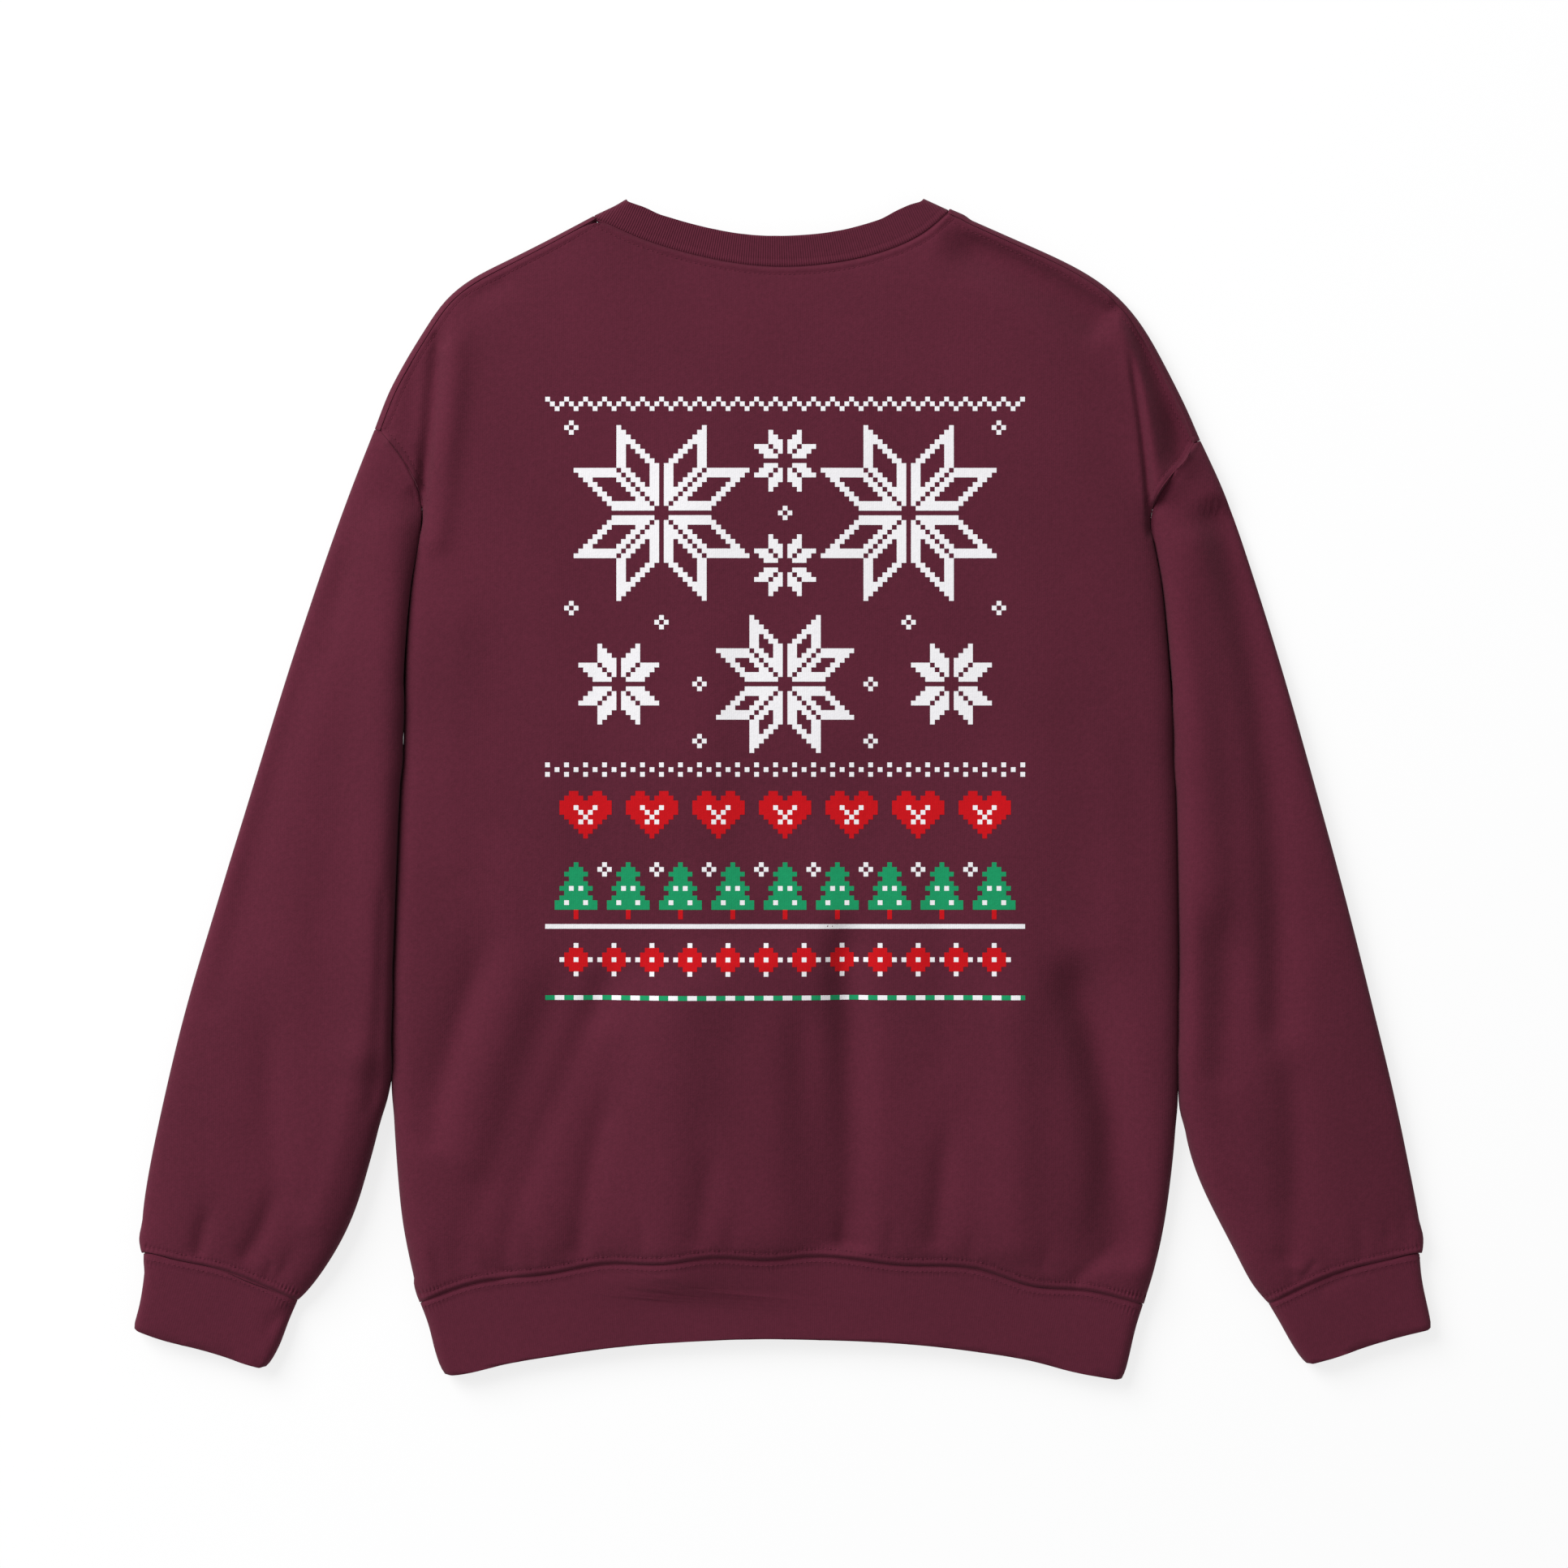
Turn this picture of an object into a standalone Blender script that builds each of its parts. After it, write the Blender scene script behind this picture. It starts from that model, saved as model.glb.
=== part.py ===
"""A crewneck sweatshirt, laid flat on its front with its back up.

Metres, +Z up, +Y towards the collar. The origin is on the surface that it lies on, under the
middle of the garment. Each cut-and-sewn piece is a closed wall of its own, and the pieces stand
0.3 mm apart at their seams.
"""
import math

import bmesh
import bpy
import numpy as np
from mathutils import Vector

COLLECTION_NAME = "crewneck_sweatshirt"
MM = 0.001

# Cloth
FLEECE_WALL = 2.2
RIB_WALL = 3.0
SEAM_GAP = 0.3
LONGEST_MITRE = 2.0
SHARPEST_MITRE = 0.05
# The seams turn sharply round the underarm, so their gap is this much wider there.
UNDERARM_WIDENING = 2.6
UNDERARM_REACH = 60.0
UNDERARM_POINT = 0.5
UNDERARM_FACING = -0.3

# Heights of the outer surface over the table
SIDE_SEAM_HEIGHT = 8.0
ARMHOLE_SEAM_HEIGHT = 10.2
SHOULDER_FOLD_MID_HEIGHT = 5.5
SHOULDER_FOLD_TOP_HEIGHT = 12.6
BAND_MID_HEIGHT = 6.2
BAND_TOP_HEIGHT = 13.2
BODY_HEIGHT = 18.5
BODY_CROWN = 3.5
SLEEVE_HEIGHT = 17.5
SLEEVE_CROWN = 3.0

# How far in from the outline each fold of the cloth reaches
BODY_ROLL = 17.0
SLEEVE_ROLL = 13.0
BAND_ROLL = 8.0
FLOOR_ROLL = 8.0
SHOULDER_ROLL_TOP = 7.4
SHOULDER_ROLL_FLOOR = 6.5
COLLAR_ROLL_TOP = 5.4
COLLAR_ROLL_FLOOR = 5.6
SHOULDER_RISE = 34.0
PUFF_RISE = 6.0
SLEEVE_OUTER_RISE = 24.0
UNDERARM_LIFT = 12.0
CREASE_HALF_GAP = 0.5
FOLD_MID_CROWN = 1.5
FOLD_TOP_CROWN = 2.5
CUFF_SINK = 1.5
CUFF_SINK_REACH = 40.0
# Points of the lower layer that are no higher than this lie on the table.
LYING_HEIGHT = 0.02
# Faces are merged where they face straight up or down, and turn by fewer degrees than this.
LEVEL_NORMAL = 0.999999
LEVEL_ANGLE = 0.05

# Degrees round the fold at the shoulders, the collar's sides and the sleeves' outer edges. The
# shoulder seam lies on the first, because the front wraps over the top edge.
FOLD_ANGLES = (70.0, 35.0, 0.0, -45.0, -90.0)

# Grid of the panels. A grade is the first and the last row's share of an even row's height.
PANEL_WIDTH = 500.0
UNDERARM_SHARE = 0.66
SIDE_GRADE = (0.35, 0.5)
ARMHOLE_GRADE = (0.45, 0.4)
SLEEVE_GRADE = (0.5, 0.3)
SIDE_ROWS = 22
ARMHOLE_ROWS = 12
SHOULDER_COLUMNS = 12
NECK_COLUMNS = 20
ROLL_ANGLES = (0.0, 25.0, 48.0, 68.0, 90.0)
SLEEVE_ROWS = 22
EVENING_ROUNDS = 30
EVENING_REACH = 40.0
BAND_ROWS = 3
NECKBAND_ROWS = 3
CUFF_ROWS = 3
CURVE_STEPS = 80
KNOT_STEPS = 24
MERGE_DISTANCE = 0.02

# Shares of the seams' lengths over which their heights change
HEM_END_SHARE = 0.06
ARMHOLE_RISE_SHARE = 0.2
CUFF_END_SHARE = 0.06
CUFF_SEAM_SHARE = 0.03

# Places inside the body and inside the neck, seen from above: x, y
BODY_MIDDLE = (-5.0, 100.0)
NECK_MIDDLE = (-8.0, 300.0)

# The lines below are in millimetres, seen from above: x to the right, y towards the collar.

# Side of the body from the waist seam up to the underarm: x, y
SIDE_LEFT = ((-236, -333), (-240.5, -314), (-247, -283), (-250.5, -248), (-253.5, -198),
             (-254.2, -160), (-252.4, -104), (-249.7, -30), (-246, 44))
SIDE_RIGHT = ((234.5, -334), (241, -314), (248, -283), (252.5, -251), (255.5, -221),
              (256.5, -180), (257, -104), (256, -30), (254, 44))

# Armhole seam from the underarm up to the tip of the shoulder, just inside the outline: x, y
ARMHOLE_LEFT = ((-246, 44), (-245, 84), (-240.3, 140), (-234, 187), (-237, 198), (-243, 209),
                (-249.5, 219), (-261, 232.4))
ARMHOLE_RIGHT = ((254, 44), (250.8, 84), (245.3, 140), (239, 183), (243, 192), (251, 203),
                 (260, 213), (267.2, 225.2))

# Outline of the shoulder from its tip to the collar: x, y
SHOULDER_LEFT = ((-265.5, 234.2), (-258, 254), (-250.8, 270), (-241, 286), (-231, 302),
                 (-222.5, 316), (-213, 325.5), (-201, 333.5), (-183, 342), (-150, 358.5),
                 (-122.7, 373))
SHOULDER_RIGHT = ((271.6, 227), (259.7, 254), (251.3, 270), (243.4, 286), (234.5, 301.5),
                  (223, 316.5), (213.5, 325.2), (202, 333.4), (186, 342), (149, 358.5),
                  (108, 376.5))

# Outline of the collar's sides, from the neck seam to the peak: x, y
COLLAR_SIDE_LEFT = ((-122.7, 373), (-111, 379.5), (-101.5, 383))
COLLAR_SIDE_RIGHT = ((108, 376.5), (101.5, 379.5), (91.3, 384.2))

# Neck seam across the back, between the shoulder seams, then across the front: x, y
NECK_SEAM_BACK = ((-121.2, 369.8), (-112, 366), (-93.5, 357.5), (-74.5, 351), (-55.5, 346),
                  (-37, 342), (-18, 339.5), (1, 338.5), (19, 339.5), (38, 342), (57, 346),
                  (76, 352.3), (94.5, 362.5), (106.5, 373.2))
NECK_SEAM_FRONT = ((-120.3, 367.5), (-112, 346), (-93, 316), (-64, 292), (-35, 281), (-8, 277.5),
                   (19, 281), (48, 292), (77, 316), (96, 346), (105.3, 371))

# Open edge of the neckband across the back, then across the front: x, y
NECK_EDGE_BACK = ((-100, 379.6), (-85.5, 374.8), (-73.5, 371), (-59.5, 367), (-41, 362.7),
                  (-24, 360), (-7, 359), (11, 359.5), (29, 361.2), (38, 362.7), (54.5, 367),
                  (67, 371), (76, 375.3), (89.8, 380.8))
NECK_EDGE_FRONT = ((-99, 377.7), (-92, 352), (-77, 328), (-54, 309), (-31, 300), (-8, 297),
                   (15, 300), (38, 309), (61, 328), (76, 352), (88.5, 378.8))

# Waist seam, the same above and below: x, y
WAIST_SEAM = ((-236, -333), (-203, -321), (-150, -314), (-115, -307.5), (-80, -307.5),
              (-46, -303), (-11, -305), (22, -302.5), (74, -308.5), (126, -311), (162, -322.5),
              (197, -325), (234.5, -334))

# Hem of the waistband, and its two sides from the seam to the hem: x, y
HEM = ((-220.5, -380.5), (-203, -378.4), (-185.5, -373.7), (-150, -367.4), (-98, -360.5),
       (-63, -358), (-11, -356.2), (22, -356.8), (57, -358), (92, -360.5), (127, -364.7),
       (162, -370.5), (187.5, -377.4), (221.3, -383.5))
WAISTBAND_LEFT = ((-236, -333), (-233, -337), (-228.7, -354), (-223, -376.5), (-220.5, -380.5))
WAISTBAND_RIGHT = ((234.5, -334), (231.3, -342), (228.2, -354), (223.5, -377), (221.3, -383.5))

# Outer edge of each sleeve from the tip of the shoulder to the cuff: x, y
SLEEVE_OUTER_LEFT = ((-265.5, 234.2), (-282.4, 191), (-299.2, 143.7), (-320.3, 80.5),
                     (-339.7, 17.4), (-368.7, -77.4), (-387.6, -140.5), (-402.9, -203.7),
                     (-415.2, -267), (-417.4, -290), (-414.5, -301))
SLEEVE_OUTER_RIGHT = ((271.6, 227), (288.2, 191), (304.5, 143.7), (324, 80.5), (341.8, 17.4),
                      (367.6, -77.4), (383.4, -140.5), (398.7, -203.7), (411.3, -267),
                      (415.6, -292), (413.9, -301))

# Inner edge of each sleeve from the underarm to the cuff: x, y
SLEEVE_INNER_LEFT = ((-246, 44), (-249.7, -30), (-252.4, -104), (-254.6, -160), (-256, -196),
                     (-260.5, -219), (-269.2, -251), (-276, -273.5), (-286, -295),
                     (-298.7, -314.5), (-307.5, -326), (-314.6, -331.5))
SLEEVE_INNER_RIGHT = ((254, 44), (256, -30), (257, -104), (257.4, -175), (258.6, -215),
                      (264, -241), (275.5, -268), (291.3, -297.5), (306.5, -325.5),
                      (315, -333.5))

# Cuff seam from the sleeve's outer edge to its inner edge: x, y
CUFF_SEAM_LEFT = ((-414.5, -301), (-405.5, -301.2), (-391.8, -305.6), (-384.5, -306.4),
                  (-363.4, -311.6), (-349.2, -317.9), (-321.3, -328.4), (-314.6, -331.5))
CUFF_SEAM_RIGHT = ((413.9, -301), (398.2, -303.2), (384.5, -306.8), (370.3, -309.5),
                   (356.1, -314.7), (327.6, -327.4), (315, -333.5))

# Open edge of each cuff, and its outer and inner sides from the seam to that edge: x, y
CUFF_EDGE_LEFT = ((-422.4, -350), (-403, -356.8), (-375, -363.7), (-355, -370), (-344, -374.2),
                  (-335, -375.6))
CUFF_OUTER_LEFT = ((-414.5, -301), (-415.5, -319), (-418.2, -337), (-422.4, -350))
CUFF_INNER_LEFT = ((-314.6, -331.5), (-321.3, -346), (-326.6, -362.6), (-335, -375.6))
CUFF_EDGE_RIGHT = ((422, -349.5), (398.2, -355.3), (378.7, -361), (356, -369), (339.5, -373.4))
CUFF_OUTER_RIGHT = ((413.9, -301), (415.5, -321.6), (419.5, -337), (422, -349.5))
CUFF_INNER_RIGHT = ((315, -333.5), (319.2, -339), (327.6, -356.3), (339.5, -373.4))

# Folds in the back: start x, y, middle x, y, end x, y, half width, height (below 0 is a valley)
BACK_FOLDS = (
    (-192, -93, -216, -160, -238, -222, 10, -3.0),
    (-171, -137, -199, -182, -226, -226, 9, 2.0),
    (-143, -112, -178, -225, -212, -316, 9, -5.0),
    (-137, -157, -162, -235, -192, -310, 9, 2.4),
    (-112, -161, -129, -235, -143, -304, 10, -3.4),
    (-81, -137, -97, -220, -109, -298, 11, 2.6),
    (-49, -200, -56, -250, -60, -300, 9, -2.2),
    (-4, -146, -6, -220, -4, -300, 16, 2.2),
    (12, -140, 19, -220, 21, -300, 8, -5.0),
    (59, -157, 54, -225, 49, -300, 13, 2.2),
    (108, -215, 103, -260, 98, -302, 10, -2.6),
    (147, -115, 151, -215, 150, -312, 17, 2.6),
    (172, -105, 207, -205, 194, -316, 10, -4.6),
    (226, -150, 228, -220, 222, -300, 9, 1.4),
    (-213, 305, -214, 265, -222, 215, 8, 2.0),
    (-222, 300, -228, 245, -236, 190, 6, -2.4),
    (211, 306, 230, 255, 243, 175, 10, 3.0),
    (222, 312, 247, 262, 252, 205, 9, -3.4),
    (-62, 190, -48, 60, -60, -90, 22, 1.6),
    (-128, 150, -120, 20, -132, -80, 20, -1.4),
    (60, 210, 66, 70, 52, -80, 24, -1.2),
    (150, 180, 168, 40, 160, -70, 22, 1.5),
)

# Folds in the sleeves, in the same columns
LEFT_SLEEVE_FOLDS = (
    (-286, 150, -322, 20, -352, -110, 11, -3.0),
    (-330, -130, -334, -200, -345, -262, 12, -2.4),
    (-300, 60, -318, -60, -322, -170, 14, 1.6),
    (-372, -262, -375, -285, -379, -304, 6, -2.2),
    (-330, -270, -341, -292, -353, -308, 7, -2.6),
)
RIGHT_SLEEVE_FOLDS = (
    (245, 172, 262, 20, 268, -190, 9, 2.6),
    (268, 140, 287, 0, 290, -180, 10, -3.4),
    (326, -160, 331, -220, 330, -276, 12, -2.6),
    (350, 20, 362, -60, 372, -150, 13, 1.6),
    (345, -270, 353, -292, 357, -308, 7, -2.2),
    (388, -262, 392, -285, 394, -300, 6, -2.2),
)
FOLD_STEPS = 12
FOLD_END_LENGTH = 26.0
FOLD_END_SHARE = 0.25
FOLD_EDGE_FADE = 9.0

# Piece: name, wall in mm, colour, roughness
PIECES = (
    ("back_panel", FLEECE_WALL, (0.105, 0.020, 0.037), 0.90),
    ("front_panel", FLEECE_WALL, (0.102, 0.020, 0.036), 0.90),
    ("left_sleeve", FLEECE_WALL, (0.104, 0.020, 0.037), 0.90),
    ("right_sleeve", FLEECE_WALL, (0.101, 0.019, 0.036), 0.90),
    ("left_cuff", RIB_WALL, (0.093, 0.017, 0.033), 0.88),
    ("right_cuff", RIB_WALL, (0.092, 0.017, 0.033), 0.88),
    ("waistband", RIB_WALL, (0.094, 0.018, 0.033), 0.88),
    ("neckband", RIB_WALL, (0.090, 0.017, 0.032), 0.88),
)
PIECE_INDEX = {row[0]: index for index, row in enumerate(PIECES)}


def smooth_line(table, fractions):
    """Points at the given fractions of the length of a smooth line through the table."""
    knots = np.array(table, float)
    steps = np.linalg.norm(np.diff(knots, axis=0), axis=1)
    at = np.concatenate(([0.0], np.cumsum(steps)))
    slopes = np.gradient(knots, at, axis=0)
    dense = np.linspace(0.0, at[-1], KNOT_STEPS * len(knots))
    span = np.clip(np.searchsorted(at, dense, side="right") - 1, 0, len(knots) - 2)
    width = (at[span + 1] - at[span])[:, None]
    t = ((dense - at[span]) / width[:, 0])[:, None]
    line = (
        knots[span] * (2 * t**3 - 3 * t**2 + 1)
        + slopes[span] * width * (t**3 - 2 * t**2 + t)
        + knots[span + 1] * (3 * t**2 - 2 * t**3)
        + slopes[span + 1] * width * (t**3 - t**2)
    )
    lengths = np.concatenate(([0.0], np.cumsum(np.linalg.norm(np.diff(line, axis=0), axis=1))))
    wanted = np.asarray(fractions, float) * lengths[-1]
    return np.column_stack([np.interp(wanted, lengths, line[:, axis]) for axis in (0, 1)])


def graded(count, grade):
    """Fractions 0 to 1 in count steps, whose first and last steps have the grade's shares."""
    first, last = grade
    steps = np.ones(count)
    for place, share in enumerate((first, 0.5 * (1 + first))):
        steps[place] = share
    for place, share in enumerate((last, 0.5 * (1 + last))):
        steps[-1 - place] = share
    return np.concatenate(([0.0], np.cumsum(steps))) / steps.sum()


def turned_in(line, inside):
    """Unit vectors square to the line, on the side where the point inside lies."""
    along = np.gradient(line, axis=0)
    along /= np.linalg.norm(along, axis=1)[:, None]
    across = np.column_stack((-along[:, 1], along[:, 0]))
    side = np.sign(np.sum(across * (np.asarray(inside, float) - line), axis=1))
    return across * side[:, None]


def distance_to(line, points):
    """Distance of each point from the line, and how far along its points the nearest place is."""
    starts = line[:-1]
    spans = line[1:] - starts
    offset = points[..., None, :] - starts
    share = np.sum(offset * spans, axis=-1) / np.maximum(np.sum(spans**2, axis=-1), 1e-12)
    share = np.clip(share, 0.0, 1.0)
    gaps = np.linalg.norm(offset - share[..., None] * spans, axis=-1)
    nearest = np.argmin(gaps, axis=-1)
    gap = np.take_along_axis(gaps, nearest[..., None], axis=-1)[..., 0]
    along = np.take_along_axis(share, nearest[..., None], axis=-1)[..., 0]
    return gap, nearest + along


def patch(left, right, bottom, top, across, up):
    """Grid of points between four edges, blended from the edges (a Coons patch)."""
    s = across[:, None, None]
    v = up[None, :, None]
    corners = (
        (1 - s) * (1 - v) * bottom[0]
        + s * (1 - v) * bottom[-1]
        + (1 - s) * v * top[0]
        + s * v * top[-1]
    )
    return (
        (1 - v) * bottom[:, None]
        + v * top[:, None]
        + (1 - s) * left[None]
        + s * right[None]
        - corners
    )


def evened(plan):
    """Evens out a grid near its first row, with the edges held."""
    for _ in range(EVENING_ROUNDS):
        mean = 0.25 * (plan[:-2, 1:-1] + plan[2:, 1:-1] + plan[1:-1, :-2] + plan[1:-1, 2:])
        gap, _ = distance_to(plan[:, 0], plan[1:-1, 1:-1])
        weight = np.exp(-((gap / EVENING_REACH) ** 2))[..., None]
        plan[1:-1, 1:-1] += weight * (mean - plan[1:-1, 1:-1])
    return plan


def quarter(share):
    """Height of a quarter circle at a share of its width, 0 at the edge and 1 at the top."""
    t = np.clip(share, 0.0, 1.0)
    return np.sqrt(1.0 - (1.0 - t) ** 2)


def fading(distance, reach):
    """0 at an edge, rising to 1 well inside it."""
    return 1.0 - np.exp(-distance / reach)


def fold_height(folds, points):
    """Sum of the folds at each point: soft ridges and valleys that thin out at their ends."""
    total = np.zeros(points.shape[:-1])
    for x0, y0, x1, y1, x2, y2, half_width, height in folds:
        t = np.linspace(0.0, 1.0, FOLD_STEPS + 1)[:, None]
        start, middle, end = np.array([[x0, y0], [x1, y1], [x2, y2]], float)
        handle = 2 * middle - 0.5 * (start + end)
        line = start * (1 - t) ** 2 + 2 * handle * t * (1 - t) + end * t**2
        gap, along = distance_to(line, points)
        length = np.linalg.norm(np.diff(line, axis=0), axis=1).sum()
        place = along / FOLD_STEPS * length
        ends = np.minimum(place, length - place) / FOLD_END_LENGTH
        strength = FOLD_END_SHARE + (1 - FOLD_END_SHARE) * quarter(ends)
        total += height * np.exp(-((gap / half_width) ** 2)) * strength
    return total


def fold_arc(outline, inward, top_reach, floor_reach, mid_height, top_height):
    """Points round a folded edge, from its top to the table, for each point of the outline."""
    arcs = []
    for angle in FOLD_ANGLES:
        turn = math.radians(abs(angle))
        reach = top_reach if angle >= 0 else floor_reach
        plan = outline + inward * (reach * (1 - math.cos(turn)))[:, None]
        if angle >= 0:
            height = mid_height + (top_height - mid_height) * math.sin(turn)
        else:
            height = mid_height * (1 - math.sin(turn))
        arcs.append(np.column_stack((plan, height)))
    return np.stack(arcs, axis=1)


def with_height(plan, height):
    """Joins a plan and its heights into points."""
    return np.concatenate((plan, height[..., None]), axis=-1)


def edge_height(distances, heights):
    """Height of the nearest edges, each weighed by how near it is."""
    weights = [1.0 / (distance + 0.01) ** 2 for distance in distances]
    total = sum(weight * height for weight, height in zip(weights, heights))
    return total / sum(weights)


def column_shares():
    """Shares across a panel, with closer columns in the roll at each side."""
    roll = [
        BODY_ROLL * (1 - math.cos(math.radians(angle))) / PANEL_WIDTH for angle in ROLL_ANGLES
    ]
    middle = 2 * SHOULDER_COLUMNS + NECK_COLUMNS - 2 * (len(roll) - 1)
    inner = np.linspace(roll[-1], 1.0 - roll[-1], middle + 1)
    return np.concatenate((roll[:-1], inner, 1.0 - np.array(roll[:-1])[::-1]))


def row_shares():
    """Shares up a panel: side seam rows, then armhole rows."""
    side = graded(SIDE_ROWS, SIDE_GRADE) * UNDERARM_SHARE
    armhole = UNDERARM_SHARE + graded(ARMHOLE_ROWS, ARMHOLE_GRADE) * (1 - UNDERARM_SHARE)
    return np.concatenate((side, armhole[1:]))


def side_edge(side, armhole, shift):
    """One side of a panel: the side seam, set off from the crease, then the armhole seam."""
    side_part = smooth_line(side, graded(SIDE_ROWS, SIDE_GRADE))
    side_part[1:-1, 0] += shift
    armhole_part = smooth_line(armhole, graded(ARMHOLE_ROWS, ARMHOLE_GRADE))
    return np.concatenate((side_part, armhole_part[1:]))


def shoulder_outline(table):
    """Outline points of a shoulder at the panel's columns, from the tip to the collar."""
    shares = column_shares()[: SHOULDER_COLUMNS + 1]
    return smooth_line(table, shares / shares[-1])


def shoulder_arcs(table, inside):
    """Fold round a shoulder from its seam to the table, for each column."""
    outline = shoulder_outline(table)
    inward = turned_in(outline, inside)
    to_collar = np.linspace(0.0, 1.0, len(outline)) ** 3
    top_reach = SHOULDER_ROLL_TOP + (COLLAR_ROLL_TOP - SHOULDER_ROLL_TOP) * to_collar
    floor_reach = SHOULDER_ROLL_FLOOR + (COLLAR_ROLL_FLOOR - SHOULDER_ROLL_FLOOR) * to_collar
    mid = SHOULDER_FOLD_MID_HEIGHT + (BAND_MID_HEIGHT - SHOULDER_FOLD_MID_HEIGHT) * to_collar
    top = SHOULDER_FOLD_TOP_HEIGHT + (BAND_TOP_HEIGHT - SHOULDER_FOLD_TOP_HEIGHT) * to_collar
    return fold_arc(outline, inward, top_reach, floor_reach, mid, top)


def band_seam_height(plan, left_edge, right_edge):
    """Height of the waist seam: level across, rolled down at both sides."""
    gap = np.minimum(distance_to(left_edge, plan)[0], distance_to(right_edge, plan)[0])
    return BAND_MID_HEIGHT + (BAND_TOP_HEIGHT - BAND_MID_HEIGHT) * quarter(gap / BAND_ROLL)


def side_seam_heights(rows):
    """Height of a side seam and then of the armhole seam, row by row."""
    side = rows / rows[SIDE_ROWS]
    low = BAND_MID_HEIGHT + (SIDE_SEAM_HEIGHT - BAND_MID_HEIGHT) * quarter(side / HEM_END_SHARE)
    up = np.clip((rows - rows[SIDE_ROWS]) / (1 - rows[SIDE_ROWS]), 0.0, 1.0)
    lifted = (ARMHOLE_SEAM_HEIGHT - SIDE_SEAM_HEIGHT) * quarter(up / ARMHOLE_RISE_SHARE)
    return low + lifted + (shoulder_seam_height() - ARMHOLE_SEAM_HEIGHT) * up**2


def shoulder_seam_height():
    """Height of the shoulder seam on the fold."""
    rise = SHOULDER_FOLD_TOP_HEIGHT - SHOULDER_FOLD_MID_HEIGHT
    return SHOULDER_FOLD_MID_HEIGHT + rise * math.sin(math.radians(FOLD_ANGLES[0]))


def floor_side_share(points, underarm_y):
    """Share of the seam's height that the lower layer's edge has: none above the underarm."""
    share = np.clip((underarm_y + UNDERARM_LIFT - points[..., 1]) / UNDERARM_LIFT, 0.0, 1.0)
    return share**2 * (3 - 2 * share)


def back_points(arcs):
    """Outer points of the back panel, columns by rows."""
    columns = column_shares()
    rows = row_shares()
    left = side_edge(SIDE_LEFT, ARMHOLE_LEFT, CREASE_HALF_GAP)
    right = side_edge(SIDE_RIGHT, ARMHOLE_RIGHT, -CREASE_HALF_GAP)
    bottom = smooth_line(WAIST_SEAM, columns)
    neck = smooth_line(NECK_SEAM_BACK, np.linspace(0.0, 1.0, NECK_COLUMNS + 1))
    top = np.concatenate((arcs[0][:-1, 0, :2], neck, arcs[1][:-1, 0, :2][::-1]))
    top[SHOULDER_COLUMNS] = arcs[0][-1, 0, :2]
    top[SHOULDER_COLUMNS + NECK_COLUMNS] = arcs[1][-1, 0, :2]
    left[-1] = top[0]
    right[-1] = top[-1]
    plan = patch(left, right, bottom, top, columns, rows)

    heights = side_seam_heights(rows)
    bottom_heights = band_seam_height(bottom, left, right)
    seam = shoulder_seam_height()
    neck_heights = np.full(NECK_COLUMNS + 1, arcs[0][-1, 0, 2])
    top_heights = np.concatenate(
        (arcs[0][:-1, 0, 2], neck_heights, arcs[1][:-1, 0, 2][::-1])
    )
    to_left, at_left = distance_to(left, plan)
    to_right, at_right = distance_to(right, plan)
    to_bottom, at_bottom = distance_to(bottom, plan)
    to_top, at_top = distance_to(top, plan)
    index = np.arange(len(left))
    edges = edge_height(
        (to_left, to_right, to_bottom, to_top),
        (
            np.interp(at_left, index, heights),
            np.interp(at_right, index, heights),
            np.interp(at_bottom, np.arange(len(bottom)), bottom_heights),
            np.interp(at_top, np.arange(len(top)), top_heights),
        ),
    )
    shape = (
        quarter(to_left / BODY_ROLL)
        * quarter(to_right / BODY_ROLL)
        * fading(to_bottom, PUFF_RISE)
        * fading(to_top, SHOULDER_RISE)
    )
    s = columns[:, None]
    v = rows[None, :]
    crown = BODY_CROWN * np.sin(math.pi * s) * np.sin(math.pi * v)
    fade = fading(to_left, FOLD_EDGE_FADE) * fading(to_right, FOLD_EDGE_FADE)
    fade = fade * fading(to_bottom, 0.4 * FOLD_EDGE_FADE) * fading(to_top, FOLD_EDGE_FADE)
    height = edges + (BODY_HEIGHT + crown - edges) * shape + fade * fold_height(BACK_FOLDS, plan)
    height[0, :] = heights
    height[-1, :] = heights
    height[:, 0] = bottom_heights
    height[:, -1] = top_heights
    height[0, -1] = seam
    height[-1, -1] = seam
    return with_height(plan, height)


def front_points(arcs, back):
    """Outer points of the front panel's part on the table, columns by rows."""
    columns = column_shares()
    rows = row_shares()
    left = back[0, :, :2].copy()
    right = back[-1, :, :2].copy()
    bottom = back[:, 0, :2]
    left[-1] = arcs[0][0, -1, :2]
    right[-1] = arcs[1][0, -1, :2]
    neck = smooth_line(NECK_SEAM_FRONT, np.linspace(0.0, 1.0, NECK_COLUMNS + 1))
    top = np.concatenate((arcs[0][:-1, -1, :2], neck, arcs[1][:-1, -1, :2][::-1]))
    top[SHOULDER_COLUMNS] = arcs[0][-1, -1, :2]
    top[SHOULDER_COLUMNS + NECK_COLUMNS] = arcs[1][-1, -1, :2]
    plan = patch(left, right, bottom, top, columns, rows)
    height = np.zeros(plan.shape[:2])
    for edge in (left, right):
        gap, at = distance_to(edge, plan)
        seam = np.interp(at, np.arange(len(edge)), side_seam_heights(rows))
        seam *= floor_side_share(plan, edge[SIDE_ROWS, 1])
        height += seam * (1 - quarter(gap / FLOOR_ROLL))
    height[:, -1] = 0.0
    return with_height(plan, np.where(height < LYING_HEIGHT, 0.0, height))


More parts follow.
